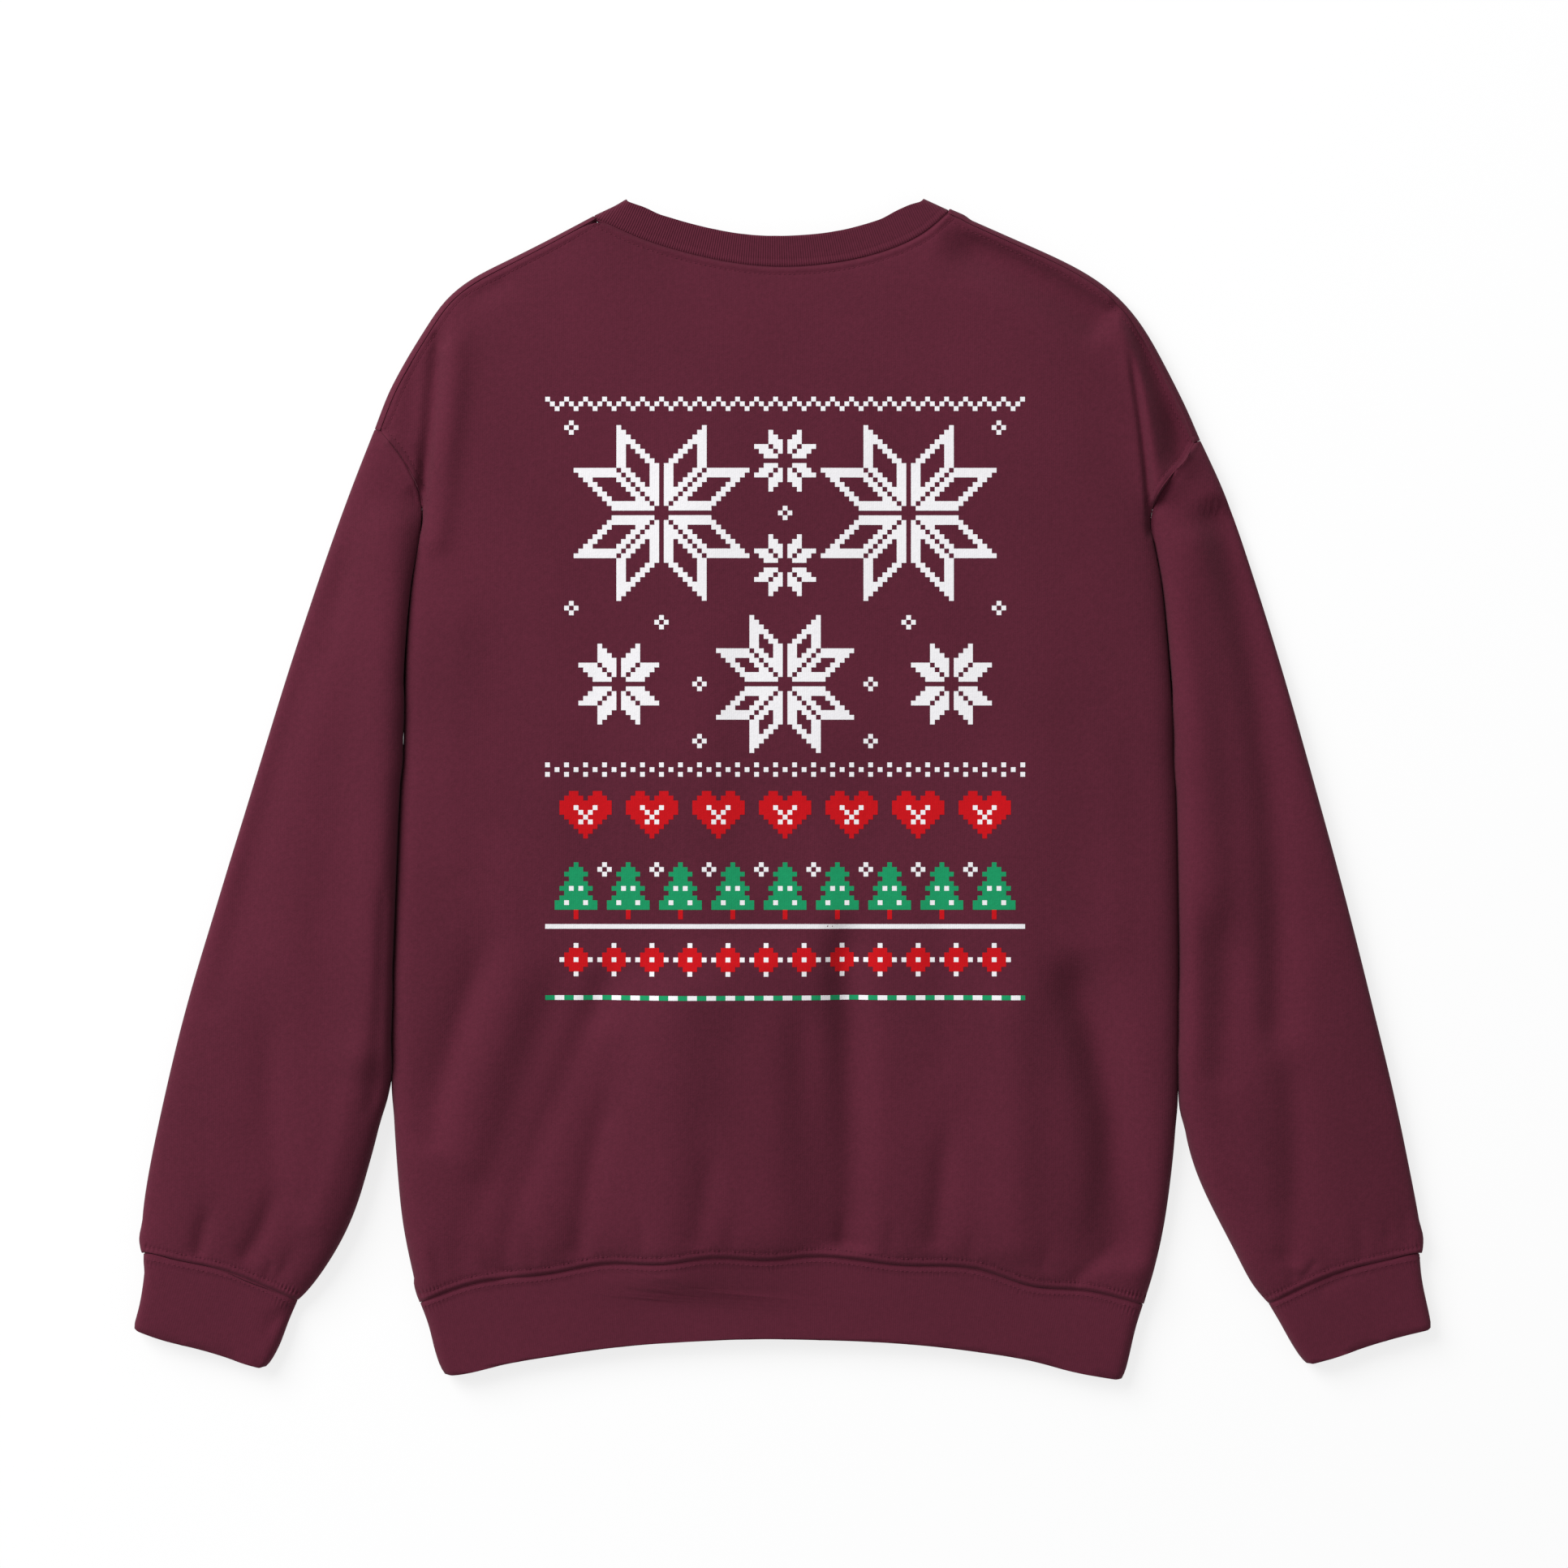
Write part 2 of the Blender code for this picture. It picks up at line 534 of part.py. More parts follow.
def sleeve_layers(back, front, arcs, outer, inner, cuff, folds, side):
    """Outer points of a sleeve: its upper layer, its fold and its lower layer, columns by rows."""
    edge = 0 if side < 0 else -1
    rows = graded(SLEEVE_ROWS, SLEEVE_GRADE)
    armhole_up = back[edge, SIDE_ROWS:][::-1]
    armhole_low = front[edge, SIDE_ROWS:][::-1]
    outline = smooth_line(outer, rows)
    inside = np.mean(np.array(inner, float), axis=0)
    inward = turned_in(outline, inside)
    tip = arcs[0]
    inward[0] = (tip[-1, :2] - tip[2, :2]) / np.linalg.norm(tip[-1, :2] - tip[2, :2])
    cuff_end = np.clip((rows - 1 + CUFF_END_SHARE) / CUFF_END_SHARE, 0.0, 1.0)
    low = SHOULDER_FOLD_MID_HEIGHT + FOLD_MID_CROWN * np.sin(math.pi * rows)
    low = low + (BAND_MID_HEIGHT - low) * cuff_end
    high = SHOULDER_FOLD_TOP_HEIGHT + FOLD_TOP_CROWN * np.sin(math.pi * rows)
    high = high + (BAND_TOP_HEIGHT - high) * cuff_end
    count = len(rows)
    fold = fold_arc(outline, inward, np.full(count, SHOULDER_ROLL_TOP),
                    np.full(count, SHOULDER_ROLL_FLOOR), low, high)
    fold[0] = tip

    crease = smooth_line(inner, rows)
    crease[1:-1, 0] += side * CREASE_HALF_GAP
    cuff_line = smooth_line(cuff, (0.0, 1.0))
    width = np.linalg.norm(cuff_line[-1] - cuff_line[0])
    layers = []
    for armhole, start, reach in (
        (armhole_up, fold[:, 0], SLEEVE_ROLL), (armhole_low, fold[:, -1], FLOOR_ROLL)
    ):
        first = np.linalg.norm(start[-1, :2] - cuff_line[0]) / width
        roll = [reach * (1 - math.cos(math.radians(a))) / width for a in ROLL_ANGLES[1:]]
        middle = np.linspace(first, 1.0 - roll[-1], ARMHOLE_ROWS - len(roll) + 1)
        shares = np.concatenate((middle, 1.0 - np.array(roll[:-1])[::-1], [1.0]))
        bottom = smooth_line(cuff, shares)
        bottom[0] = start[-1, :2]
        steps = np.linalg.norm(np.diff(armhole[:, :2], axis=0), axis=1)
        along_top = np.concatenate(([0.0], np.cumsum(steps))) / steps.sum()
        along_bottom = (shares - first) / (1 - first)
        across = 0.5 * (along_top + along_bottom)
        # Rows run from the armhole to the cuff, columns from the outer to the inner edge.
        plan = patch(start[:, :2], crease, armhole[:, :2], bottom, across, rows)
        plan = evened(plan)
        layers.append((plan, armhole, start))

    plan, armhole, start = layers[0]
    bound = np.concatenate((armhole[:, :2], crease[1:]))
    heights = np.concatenate((armhole[:, 2], np.full(count - 1, SIDE_SEAM_HEIGHT)))
    to_inner, at_inner = distance_to(bound, plan)
    to_outer, at_outer = distance_to(start[:, :2], plan)
    to_cuff, _ = distance_to(plan[:, -1], plan)
    roll_gap = np.minimum(to_inner, to_outer)
    cuff_height = BAND_MID_HEIGHT + (BAND_TOP_HEIGHT - BAND_MID_HEIGHT) * quarter(
        to_inner / BAND_ROLL
    )
    edges = edge_height(
        (to_inner, to_outer, to_cuff),
        (
            np.interp(at_inner, np.arange(len(bound)), heights),
            np.interp(at_outer, np.arange(count), start[:, 2]),
            cuff_height,
        ),
    )
    near_cuff = np.clip(1 - to_cuff / CUFF_SINK_REACH, 0.0, 1.0)
    shape = (
        quarter(to_inner / SLEEVE_ROLL)
        * fading(to_outer, SLEEVE_OUTER_RISE)
        * fading(to_cuff, PUFF_RISE)
    )
    v = rows[None, :]
    crown = SLEEVE_CROWN * np.sin(math.pi * (0.1 + 0.8 * v))
    fade = fading(roll_gap, FOLD_EDGE_FADE) * fading(to_cuff, 0.4 * FOLD_EDGE_FADE)
    height = edges + (SLEEVE_HEIGHT + crown - CUFF_SINK * near_cuff - edges) * shape
    height = height + fade * fold_height(folds, plan)
    height[:, 0] = armhole[:, 2]
    height[0, :] = start[:, 2]
    height[-1, 1:-1] = SIDE_SEAM_HEIGHT
    height[:, -1] = np.minimum(cuff_height[:, -1], BAND_TOP_HEIGHT)
    height[0, -1] = start[-1, 2]
    height[-1, -1] = BAND_MID_HEIGHT
    upper = with_height(plan, height)

    plan, armhole, start = layers[1]
    bound = np.concatenate((armhole[:, :2], crease[1:]))
    to_inner, _ = distance_to(bound, plan)
    seam_height = np.interp(
        rows, (1 - CUFF_SEAM_SHARE, 1.0), (SIDE_SEAM_HEIGHT, BAND_MID_HEIGHT)
    )
    seam = seam_height[None, :] * floor_side_share(plan, armhole[-1, 1])
    height = seam * (1 - quarter(to_inner / FLOOR_ROLL))
    height[0, :] = 0.0
    height[:, 0] = armhole[:, 2]
    height[-1, :] = upper[-1, :, 2]
    lower = with_height(plan, np.where(height < LYING_HEIGHT, 0.0, height))
    return upper, fold, lower


def closed_ring(upper, fold, lower):
    """Ring of points round a tube: its upper layer, then its lower layer, then the outer fold."""
    return np.concatenate((upper, lower[::-1][1:], fold[::-1][1:]))


def tube_sheet(first_ring, end_upper, end_fold, end_lower, sides, rows):
    """Rings between a seam and an open edge, with the sides' lines followed in between."""
    last_ring = closed_ring(end_upper, end_fold, end_lower)
    shares = np.linspace(0.0, 1.0, rows + 1)
    rings = []
    for place, share in enumerate(shares):
        ring = first_ring * (1 - share) + last_ring * share
        ring[:, :2] += sides[place]
        rings.append(ring)
    return np.stack(rings, axis=1)


def side_bow(first, last, line, rows):
    """How far a side's line bows from the straight between its ends, row by row."""
    shares = np.linspace(0.0, 1.0, rows + 1)
    curve = smooth_line(line, shares)
    straight = first * (1 - shares)[:, None] + last * shares[:, None]
    return curve - straight


def cuff_rings(seam, upper_count, edge, outer, inner):
    """Rings of a cuff, from its seam to its open edge."""
    edge_line = smooth_line(edge, np.linspace(0.0, 1.0, CURVE_STEPS + 1))
    width = np.linalg.norm(np.diff(edge_line, axis=0), axis=1).sum()
    fold_count = len(FOLD_ANGLES)
    outline = edge_line[:1]
    along = (edge_line[-1] - edge_line[0]) / np.linalg.norm(edge_line[-1] - edge_line[0])
    fold = fold_arc(outline, along[None], np.array([COLLAR_ROLL_TOP]),
                    np.array([COLLAR_ROLL_FLOOR]), np.array([BAND_MID_HEIGHT]),
                    np.array([BAND_TOP_HEIGHT]))[0]
    roll = [COLLAR_ROLL_TOP * (1 - math.cos(math.radians(a))) / width for a in ROLL_ANGLES[1:]]
    layers = []
    for start in (fold[0], fold[-1]):
        first = np.linalg.norm(start[:2] - edge_line[0]) / width
        middle = np.linspace(first, 1.0 - roll[-1], upper_count - len(roll))
        spots = np.concatenate((middle, 1.0 - np.array(roll[:-1])[::-1], [1.0]))
        plan = smooth_line(edge, spots)
        plan[0] = start[:2]
        gap = np.linalg.norm(plan - edge_line[-1], axis=1)
        top = quarter(gap / COLLAR_ROLL_TOP)
        layers.append((plan, top))
    up_height = BAND_MID_HEIGHT + (BAND_TOP_HEIGHT - BAND_MID_HEIGHT) * layers[0][1]
    up_height[0] = fold[0, 2]
    low_height = BAND_MID_HEIGHT * (1 - layers[1][1])
    end_upper = with_height(layers[0][0], up_height)
    end_lower = with_height(layers[1][0], np.where(low_height < LYING_HEIGHT, 0.0, low_height))
    bows = (
        side_bow(np.array(outer[0], float), np.array(outer[-1], float), outer, CUFF_ROWS),
        side_bow(np.array(inner[0], float), np.array(inner[-1], float), inner, CUFF_ROWS),
    )
    shares_up = np.linspace(0.0, 1.0, upper_count)
    ring_shares = np.concatenate(
        (shares_up, shares_up[::-1][1:], np.zeros(fold_count - 1))
    )[:, None]
    sides = [
        bows[0][place] * (1 - ring_shares) + bows[1][place] * ring_shares
        for place in range(CUFF_ROWS + 1)
    ]
    return tube_sheet(seam, end_upper, fold, end_lower, sides, CUFF_ROWS)


def waistband_sheets(back, front):
    """Upper and lower sheets of the waistband, from the waist seam to the hem."""
    columns = column_shares()
    shares = np.linspace(0.0, 1.0, BAND_ROWS + 1)
    left = smooth_line(WAISTBAND_LEFT, shares)
    right = smooth_line(WAISTBAND_RIGHT, shares)
    hem = smooth_line(HEM, columns)
    sheets = []
    for seam, upper in ((back[:, 0], True), (front[:, 0], False)):
        plan = patch(left, right, seam[:, :2], hem, columns, shares)
        gap = np.minimum(distance_to(left, plan)[0], distance_to(right, plan)[0])
        if upper:
            rise = quarter(gap / BAND_ROLL)
            height = BAND_MID_HEIGHT + (BAND_TOP_HEIGHT - BAND_MID_HEIGHT) * rise
        else:
            height = BAND_MID_HEIGHT * (1 - quarter(gap / FLOOR_ROLL))
            height = np.where(height < LYING_HEIGHT, 0.0, height)
        height[:, 0] = seam[:, 2]
        sheets.append(with_height(plan, height))
    return sheets


def neckband_ring(arcs_left, arcs_right, back_line, front_line):
    """Ring round the neck: across the back, down the right fold, across the front and up."""
    across_back = back_line[1:-1]
    across_front = front_line[1:-1][::-1]
    return np.concatenate((arcs_left[:1], across_back, arcs_right, across_front,
                           arcs_left[1:][::-1]))


def neckband_sheet(back, front, arcs):
    """Rings of the neckband, from the neck seam to its open edge."""
    first = SHOULDER_COLUMNS
    last = SHOULDER_COLUMNS + NECK_COLUMNS
    seam = neckband_ring(arcs[0][-1], arcs[1][-1], back[first: last + 1, -1],
                         front[first: last + 1, -1])
    even = np.linspace(0.0, 1.0, NECK_COLUMNS + 1)
    edge_back = smooth_line(NECK_EDGE_BACK, even)
    edge_front = smooth_line(NECK_EDGE_FRONT, even)
    peaks = []
    for table in (COLLAR_SIDE_LEFT, COLLAR_SIDE_RIGHT):
        outline = smooth_line(table, (0.0, 0.5, 1.0))
        inward = turned_in(outline, NECK_MIDDLE)
        size = np.ones(3)
        arc = fold_arc(outline, inward, COLLAR_ROLL_TOP * size, COLLAR_ROLL_FLOOR * size,
                       BAND_MID_HEIGHT * size, BAND_TOP_HEIGHT * size)
        peaks.append(arc[-1])
    edge = neckband_ring(
        peaks[0], peaks[1],
        with_height(edge_back, np.full(len(even), peaks[0][0, 2])),
        with_height(edge_front, np.zeros(len(even))),
    )
    shares = np.linspace(0.0, 1.0, NECKBAND_ROWS + 1)
    return np.stack([seam * (1 - share) + edge * share for share in shares], axis=1)


def add_sheet(mesh, points, piece, closed=False):
    """Adds a grid of faces through the points, closed to a ring if asked."""
    if closed:
        points = np.concatenate((points, points[:1]))
    columns, rows = points.shape[:2]
    made = bmesh.ops.create_grid(mesh, x_segments=columns - 1, y_segments=rows - 1, size=1.0)
    flat = points.transpose(1, 0, 2).reshape(-1, 3)
    for vertex, point in zip(made["verts"], flat):
        vertex.co = Vector(point) * MM
    for face in {face for vertex in made["verts"] for face in vertex.link_faces}:
        face.material_index = PIECE_INDEX[piece]


def garment_skin():
    """The whole outer skin, its pieces joined along the seams."""
    arcs = [shoulder_arcs(table, BODY_MIDDLE) for table in (SHOULDER_LEFT, SHOULDER_RIGHT)]
    back = back_points(arcs)
    front = front_points(arcs, back)
    skin = bmesh.new()
    add_sheet(skin, back, "back_panel")
    add_sheet(skin, front, "front_panel")
    for arc in arcs:
        add_sheet(skin, arc, "front_panel")
    for upper_or_lower in waistband_sheets(back, front):
        add_sheet(skin, upper_or_lower, "waistband")
    add_sheet(skin, neckband_sheet(back, front, arcs), "neckband", closed=True)
    for name, side, arc, outer, inner, cuff, folds, ends in (
        ("left", -1, arcs[0], SLEEVE_OUTER_LEFT, SLEEVE_INNER_LEFT, CUFF_SEAM_LEFT,
         LEFT_SLEEVE_FOLDS, (CUFF_EDGE_LEFT, CUFF_OUTER_LEFT, CUFF_INNER_LEFT)),
        ("right", 1, arcs[1], SLEEVE_OUTER_RIGHT, SLEEVE_INNER_RIGHT, CUFF_SEAM_RIGHT,
         RIGHT_SLEEVE_FOLDS, (CUFF_EDGE_RIGHT, CUFF_OUTER_RIGHT, CUFF_INNER_RIGHT)),
    ):
        upper, fold, lower = sleeve_layers(back, front, arc, outer, inner, cuff, folds, side)
        rings = np.stack(
            [
                closed_ring(upper[:, row], fold[row], lower[:, row])
                for row in range(upper.shape[1])
            ],
            axis=1,
        )
        add_sheet(skin, rings[:-1], name + "_sleeve", closed=True)
        cuff_sheet = cuff_rings(rings[:, -1], len(upper), *ends)
        add_sheet(skin, cuff_sheet[:-1], name + "_cuff", closed=True)
    bmesh.ops.remove_doubles(skin, verts=skin.verts, dist=MERGE_DISTANCE * MM)
    bmesh.ops.recalc_face_normals(skin, faces=skin.faces)
    skin.verts.index_update()
    return skin


def underarm_distance(vertex):
    """Distance in mm, seen from above, from a vertex to the nearer underarm point."""
    place = np.array(vertex.co[:2]) / MM
    return min(np.linalg.norm(place - np.array(side[-1])) for side in (SIDE_LEFT, SIDE_RIGHT))


def wall_normal(vertex, piece):
    """Outward direction at a vertex, the same for all the pieces that meet along a seam."""
    sums = {}
    for loop in vertex.link_loops:
        key = loop.face.material_index
        sums.setdefault(key, Vector((0.0, 0.0, 0.0)))
        sums[key] += loop.face.normal * loop.calc_angle()
    units = {key: value.normalized() for key, value in sums.items()}
    own = units[piece]
    # At the underarm the body and the sleeve face each other, and each keeps its own direction.
    limit = UNDERARM_FACING if underarm_distance(vertex) < UNDERARM_POINT else -1.0
    total = sum((unit for unit in units.values() if unit.dot(own) >= limit), Vector((0, 0, 0)))
    return total.normalized()


def seam_shift(vertex, piece, normal):
    """How far a seam vertex moves into its own piece to leave half the gap."""
    inward = []
    for edge in vertex.link_edges:
        own = [loop for loop in edge.link_loops if loop.face.material_index == piece]
        if len(own) != 1:
            continue
        loop = own[0]
        along = (loop.link_loop_next.vert.co - loop.vert.co).normalized()
        inward.append(normal.cross(along).normalized())
    if not inward:
        return Vector((0.0, 0.0, 0.0))
    total = sum(inward, Vector((0.0, 0.0, 0.0)))
    if len(inward) == 2:
        total = total / max(1.0 + inward[0].dot(inward[1]), SHARPEST_MITRE)
    if total.length > LONGEST_MITRE:
        total = total.normalized() * LONGEST_MITRE
    widening = UNDERARM_WIDENING * max(0.0, 1.0 - underarm_distance(vertex) / UNDERARM_REACH)
    return total * 0.5 * SEAM_GAP * (1.0 + widening) * MM


def cloth_wall(skin, piece, thickness):
    """Closed wall of one piece, made from its part of the skin."""
    wall = skin.copy()
    inward = wall.verts.layers.float_vector.new("inward")
    wall.verts.ensure_lookup_table()
    for vertex in skin.verts:
        if not any(face.material_index == piece for face in vertex.link_faces):
            continue
        normal = wall_normal(vertex, piece)
        copy = wall.verts[vertex.index]
        copy.co = vertex.co + seam_shift(vertex, piece, normal)
        copy[inward] = -normal * thickness * MM
    others = [face for face in wall.faces if face.material_index != piece]
    bmesh.ops.delete(wall, geom=others, context="FACES")
    made = bmesh.ops.extrude_face_region(wall, geom=wall.faces[:], use_keep_orig=True)
    for item in made["geom"]:
        if isinstance(item, bmesh.types.BMVert):
            item.co += item[inward]
    bmesh.ops.recalc_face_normals(wall, faces=wall.faces)
    level = {face for face in wall.faces if abs(face.normal.z) > LEVEL_NORMAL}
    bmesh.ops.dissolve_limit(
        wall,
        angle_limit=math.radians(LEVEL_ANGLE),
        verts=[vertex for vertex in wall.verts if level.intersection(vertex.link_faces)],
        edges=[edge for edge in wall.edges if level.intersection(edge.link_faces)],
    )
    wall.verts.layers.float_vector.remove(wall.verts.layers.float_vector["inward"])
    for face in wall.faces:
        face.material_index = 0
        face.smooth = True
    return wall


def cloth_material(name, colour, roughness):
    """Matt cloth of one colour."""
    material = bpy.data.materials.new(name + "_cloth")
    material.use_nodes = True
    shader = material.node_tree.nodes["Principled BSDF"]
    shader.inputs["Base Color"].default_value = (*colour, 1.0)
    shader.inputs["Roughness"].default_value = roughness
    shader.inputs["Metallic"].default_value = 0.0
    return material


def clear_objects():
    """Removes the objects that are in the scene."""
    for item in list(bpy.data.objects):
        bpy.data.objects.remove(item, do_unlink=True)


def main():
    clear_objects()
    collection = bpy.data.collections.new(COLLECTION_NAME)
    bpy.context.scene.collection.children.link(collection)
    skin = garment_skin()
    for index, (name, thickness, colour, roughness) in enumerate(PIECES):
        wall = cloth_wall(skin, index, thickness)
        mesh = bpy.data.meshes.new(name)
        wall.to_mesh(mesh)
        wall.free()
        mesh.materials.append(cloth_material(name, colour, roughness))
        collection.objects.link(bpy.data.objects.new(name, mesh))
    skin.free()


main()
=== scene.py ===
"""Looks of a crewneck sweatshirt that lies flat on its front, with its back up."""
import math

import bmesh
import bpy
import numpy as np
from bpy.props import FloatProperty, FloatVectorProperty, IntProperty, PointerProperty
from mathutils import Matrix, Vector
from mathutils.bvhtree import BVHTree


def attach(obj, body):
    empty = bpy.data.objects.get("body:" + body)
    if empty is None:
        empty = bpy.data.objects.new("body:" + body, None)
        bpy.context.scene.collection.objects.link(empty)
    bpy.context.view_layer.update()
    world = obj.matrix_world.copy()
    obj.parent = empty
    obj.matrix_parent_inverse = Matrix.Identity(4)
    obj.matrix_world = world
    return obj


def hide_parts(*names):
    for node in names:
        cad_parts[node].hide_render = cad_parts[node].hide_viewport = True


bl_info = {
    "name": "Crewneck Sweatshirt",
    "version": (1, 0, 0),
    "blender": (4, 5, 0),
    "location": "View3D > Sidebar > Sweatshirt",
    "description": "Builds the cloth, seams, print and studio of a sweatshirt laid flat",
    "category": "Object",
}

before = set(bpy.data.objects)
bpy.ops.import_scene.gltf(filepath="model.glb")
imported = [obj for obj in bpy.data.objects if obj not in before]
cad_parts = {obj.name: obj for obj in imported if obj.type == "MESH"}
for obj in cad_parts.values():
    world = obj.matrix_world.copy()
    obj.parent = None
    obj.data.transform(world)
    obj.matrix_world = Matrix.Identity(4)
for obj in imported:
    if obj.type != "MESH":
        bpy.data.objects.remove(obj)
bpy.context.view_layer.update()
MM = 0.001
BODY = "root"
UV_NAME = "cloth"
# Points closer together than this are one point, in metres
MERGE_DISTANCE = 0.00001

FLEECE_PIECES = ("back_panel", "front_panel", "left_sleeve", "right_sleeve")

# Cut of each piece: width and length in metres, area in square metres, what it lies on
CUTS = {
    "back_panel": (0.560, 0.712, 0.330, ("front_panel",)),
    "front_panel": (0.560, 0.712, 0.322, ()),
    "left_sleeve": (0.400, 0.560, 0.117, ()),
    "right_sleeve": (0.400, 0.560, 0.113, ()),
    "left_cuff": (0.205, 0.053, 0.0104, ()),
    "right_cuff": (0.205, 0.053, 0.0100, ()),
    "waistband": (0.940, 0.056, 0.0490, ()),
    "neckband": (0.530, 0.021, 0.0106, ("front_panel",)),
}

# Creases (below 0) and ridges of the cloth, in mm: start x, y, middle x, y, end x, y, half width,
# height
BACK_CREASES = (
    (-188, -92, -213, -168, -228, -234, 9.0, -2.3),
    (-160, -96, -185, -170, -207, -256, 20.0, 2.8),
    (-103, -104, -153, -215, -185, -318, 11.0, -3.9),
    (-112, -140, -122, -208, -150, -308, 16.0, 2.4),
    (-110, -190, -124, -245, -134, -306, 8.0, -2.3),
    (-44, -225, -50, -264, -57, -298, 8.0, -1.8),
    (38, -76, 45, -200, 42, -302, 14.0, -8.2),
    (108, -205, 103, -258, 98, -298, 8.0, -2.2),
    (147, -115, 151, -215, 150, -308, 15.0, 2.0),
    (183, -100, 214, -205, 219, -312, 16.0, -7.6),
    (190, -110, 222, -210, 220, -306, 24.0, -2.6),
    (-223, 300, -229, 235, -237, 165, 4.0, -4.2),
    (-211, 308, -215, 238, -226, 150, 9.0, 3.0),
    (-238, 286, -240, 256, -241, 226, 6.0, -1.2),
    (-228, 297, -222, 291, -215, 288, 3.5, -1.2),
    (223, 290, 233, 230, 239, 160, 2.8, -3.6),
    (214, 312, 232, 258, 247, 180, 7.0, 3.2),
    (222, 318, 246, 262, 262, 208, 8.5, -3.4),
    (98, 357, 158, 333, 213, 297, 13.0, -7.5),
    (104, 369, 160, 347, 218, 313, 4.5, 2.6),
    (250, 262, 266, 222, 277, 194, 13.0, -3.6),
    (-118, 366, -158, 348, -206, 320, 3.0, 0.6),
    (-208, 314, -192, 323, -172, 332, 8.0, -1.5),
    (-228, -296, -224, -306, -219, -320, 4.0, -1.3),
    (-196, -290, -192, -300, -188, -314, 4.0, -1.1),
    (-165, -282, -163, -296, -160, -309, 4.5, -1.2),
    (-131, -280, -130, -292, -127, -306, 4.0, -0.9),
    (-92, -276, -91, -288, -90, -303, 4.0, -1.0),
    (-34, -277, -33, -288, -31, -300, 4.5, -0.8),
    (40, -272, 39, -286, 38, -299, 4.0, -1.0),
    (71, -276, 70, -290, 69, -304, 4.5, -1.1),
    (124, -282, 123, -294, 122, -306, 4.0, -0.9),
    (172, -290, 170, -302, 169, -316, 4.0, -1.0),
    (219, -290, 203, -306, 184, -320, 4.5, -1.6),
    (-180, -20, -176, -90, -188, -150, 12.0, 0.9),
    (-20, 120, -28, 20, -22, -70, 14.0, -0.8),
    (22, -10, 30, -70, 26, -130, 10.0, 0.8),
    (96, -40, 104, -120, 100, -190, 12.0, -1.0),
    (198, 60, 214, -30, 212, -110, 13.0, 1.0),
    (-206, 140, -214, 40, -212, -60, 13.0, 0.9),
)
LEFT_SLEEVE_CREASES = (
    (-297, 144, -334, 0, -371, -146, 10.0, -1.4),
    (-252, 190, -256, 20, -264, -190, 22.0, 5.5),
    (-272, -150, -284, -220, -306, -292, 11.0, 3.0),
    (-259, -50, -261, -130, -268, -212, 4.5, -1.8),
    (-262, 224, -249, 206, -241, 190, 6.0, 1.0),
    (-371, -268, -376, -287, -379, -305, 4.5, -2.6),
    (-328, -255, -338, -286, -353, -307, 6.0, -2.8),
    (-330, -303, -333, -312, -337, -321, 3.0, -0.9),
    (-334, -140, -331, -205, -326, -272, 9.0, -1.5),
    (-276, 168, -290, 120, -296, 80, 7.0, -0.9),
    (-352, -20, -362, -80, -372, -140, 10.0, 1.0),
    (-292, -150, -300, -210, -314, -262, 10.0, 0.9),
    (-314, -292, -322, -308, -332, -322, 4.5, -1.1),
)
RIGHT_SLEEVE_CREASES = (
    (320, -178, 315, 10, 279, 190, 13.0, -6.5),
    (284, -105, 276, 40, 266, 172, 15.0, 4.4),
    (278, -60, 284, -130, 283, -196, 14.0, -2.4),
    (268, 218, 257, 200, 247, 184, 7.0, 2.2),
    (326, -165, 332, -240, 327, -310, 10.0, -2.4),
    (347, -303, 341, -311, 333, -319, 3.0, -1.0),
    (394, -276, 393, -286, 391, -297, 4.0, -1.0),
    (300, 150, 312, 100, 318, 50, 9.0, -0.8),
    (318, 30, 336, -40, 346, -100, 10.0, -0.9),
    (296, -180, 304, -228, 318, -270, 10.0, 0.9),
    (372, -276, 374, -290, 377, -306, 4.5, -1.2),
    (402, -270, 403, -284, 404, -298, 4.0, -1.0),
    (322, -296, 328, -308, 334, -322, 4.5, -1.1),
)
# Broad swells that run on from the back over the waistband
WAIST_SWELLS = (
    (-64, -110, -70, -220, -74, -338, 28.0, 6.5),
    (-28, -90, -30, -210, -32, -342, 55.0, 6.0),
)
CREASES = {
    "back_panel": BACK_CREASES + WAIST_SWELLS,
    "waistband": WAIST_SWELLS,
    "left_sleeve": LEFT_SLEEVE_CREASES,
    "right_sleeve": RIGHT_SLEEVE_CREASES,
    "left_cuff": ((-312, -332, -326, -341, -338, -353, 4.5, -1.7),),
    "right_cuff": ((372, -311, 358, -318, 343, -327, 5.0, -0.9),),
}
# A crease fades in over the first of these lengths, in mm. It fades out over the second or over so
# many of its half widths, whichever is longer. A short one fades over this share of its length.
CREASE_START = 30.0
CREASE_END = 8.0
CREASE_END_WIDTHS = 0.8
CREASE_END_SHARE = 0.32
# A crease ends this many half widths away, and is drawn through this many points
CREASE_REACH = 3
CREASE_POINTS = 9
# Creases narrower than this half width, in mm, get smaller faces, along this many points
SHARP_CREASE = 4.0
SHARP_CREASE_POINTS = 12
# Creases and seams show only above this height, more and more over this stretch, in metres
RELIEF_FOOT = 0.005
RELIEF_FADE = 0.004

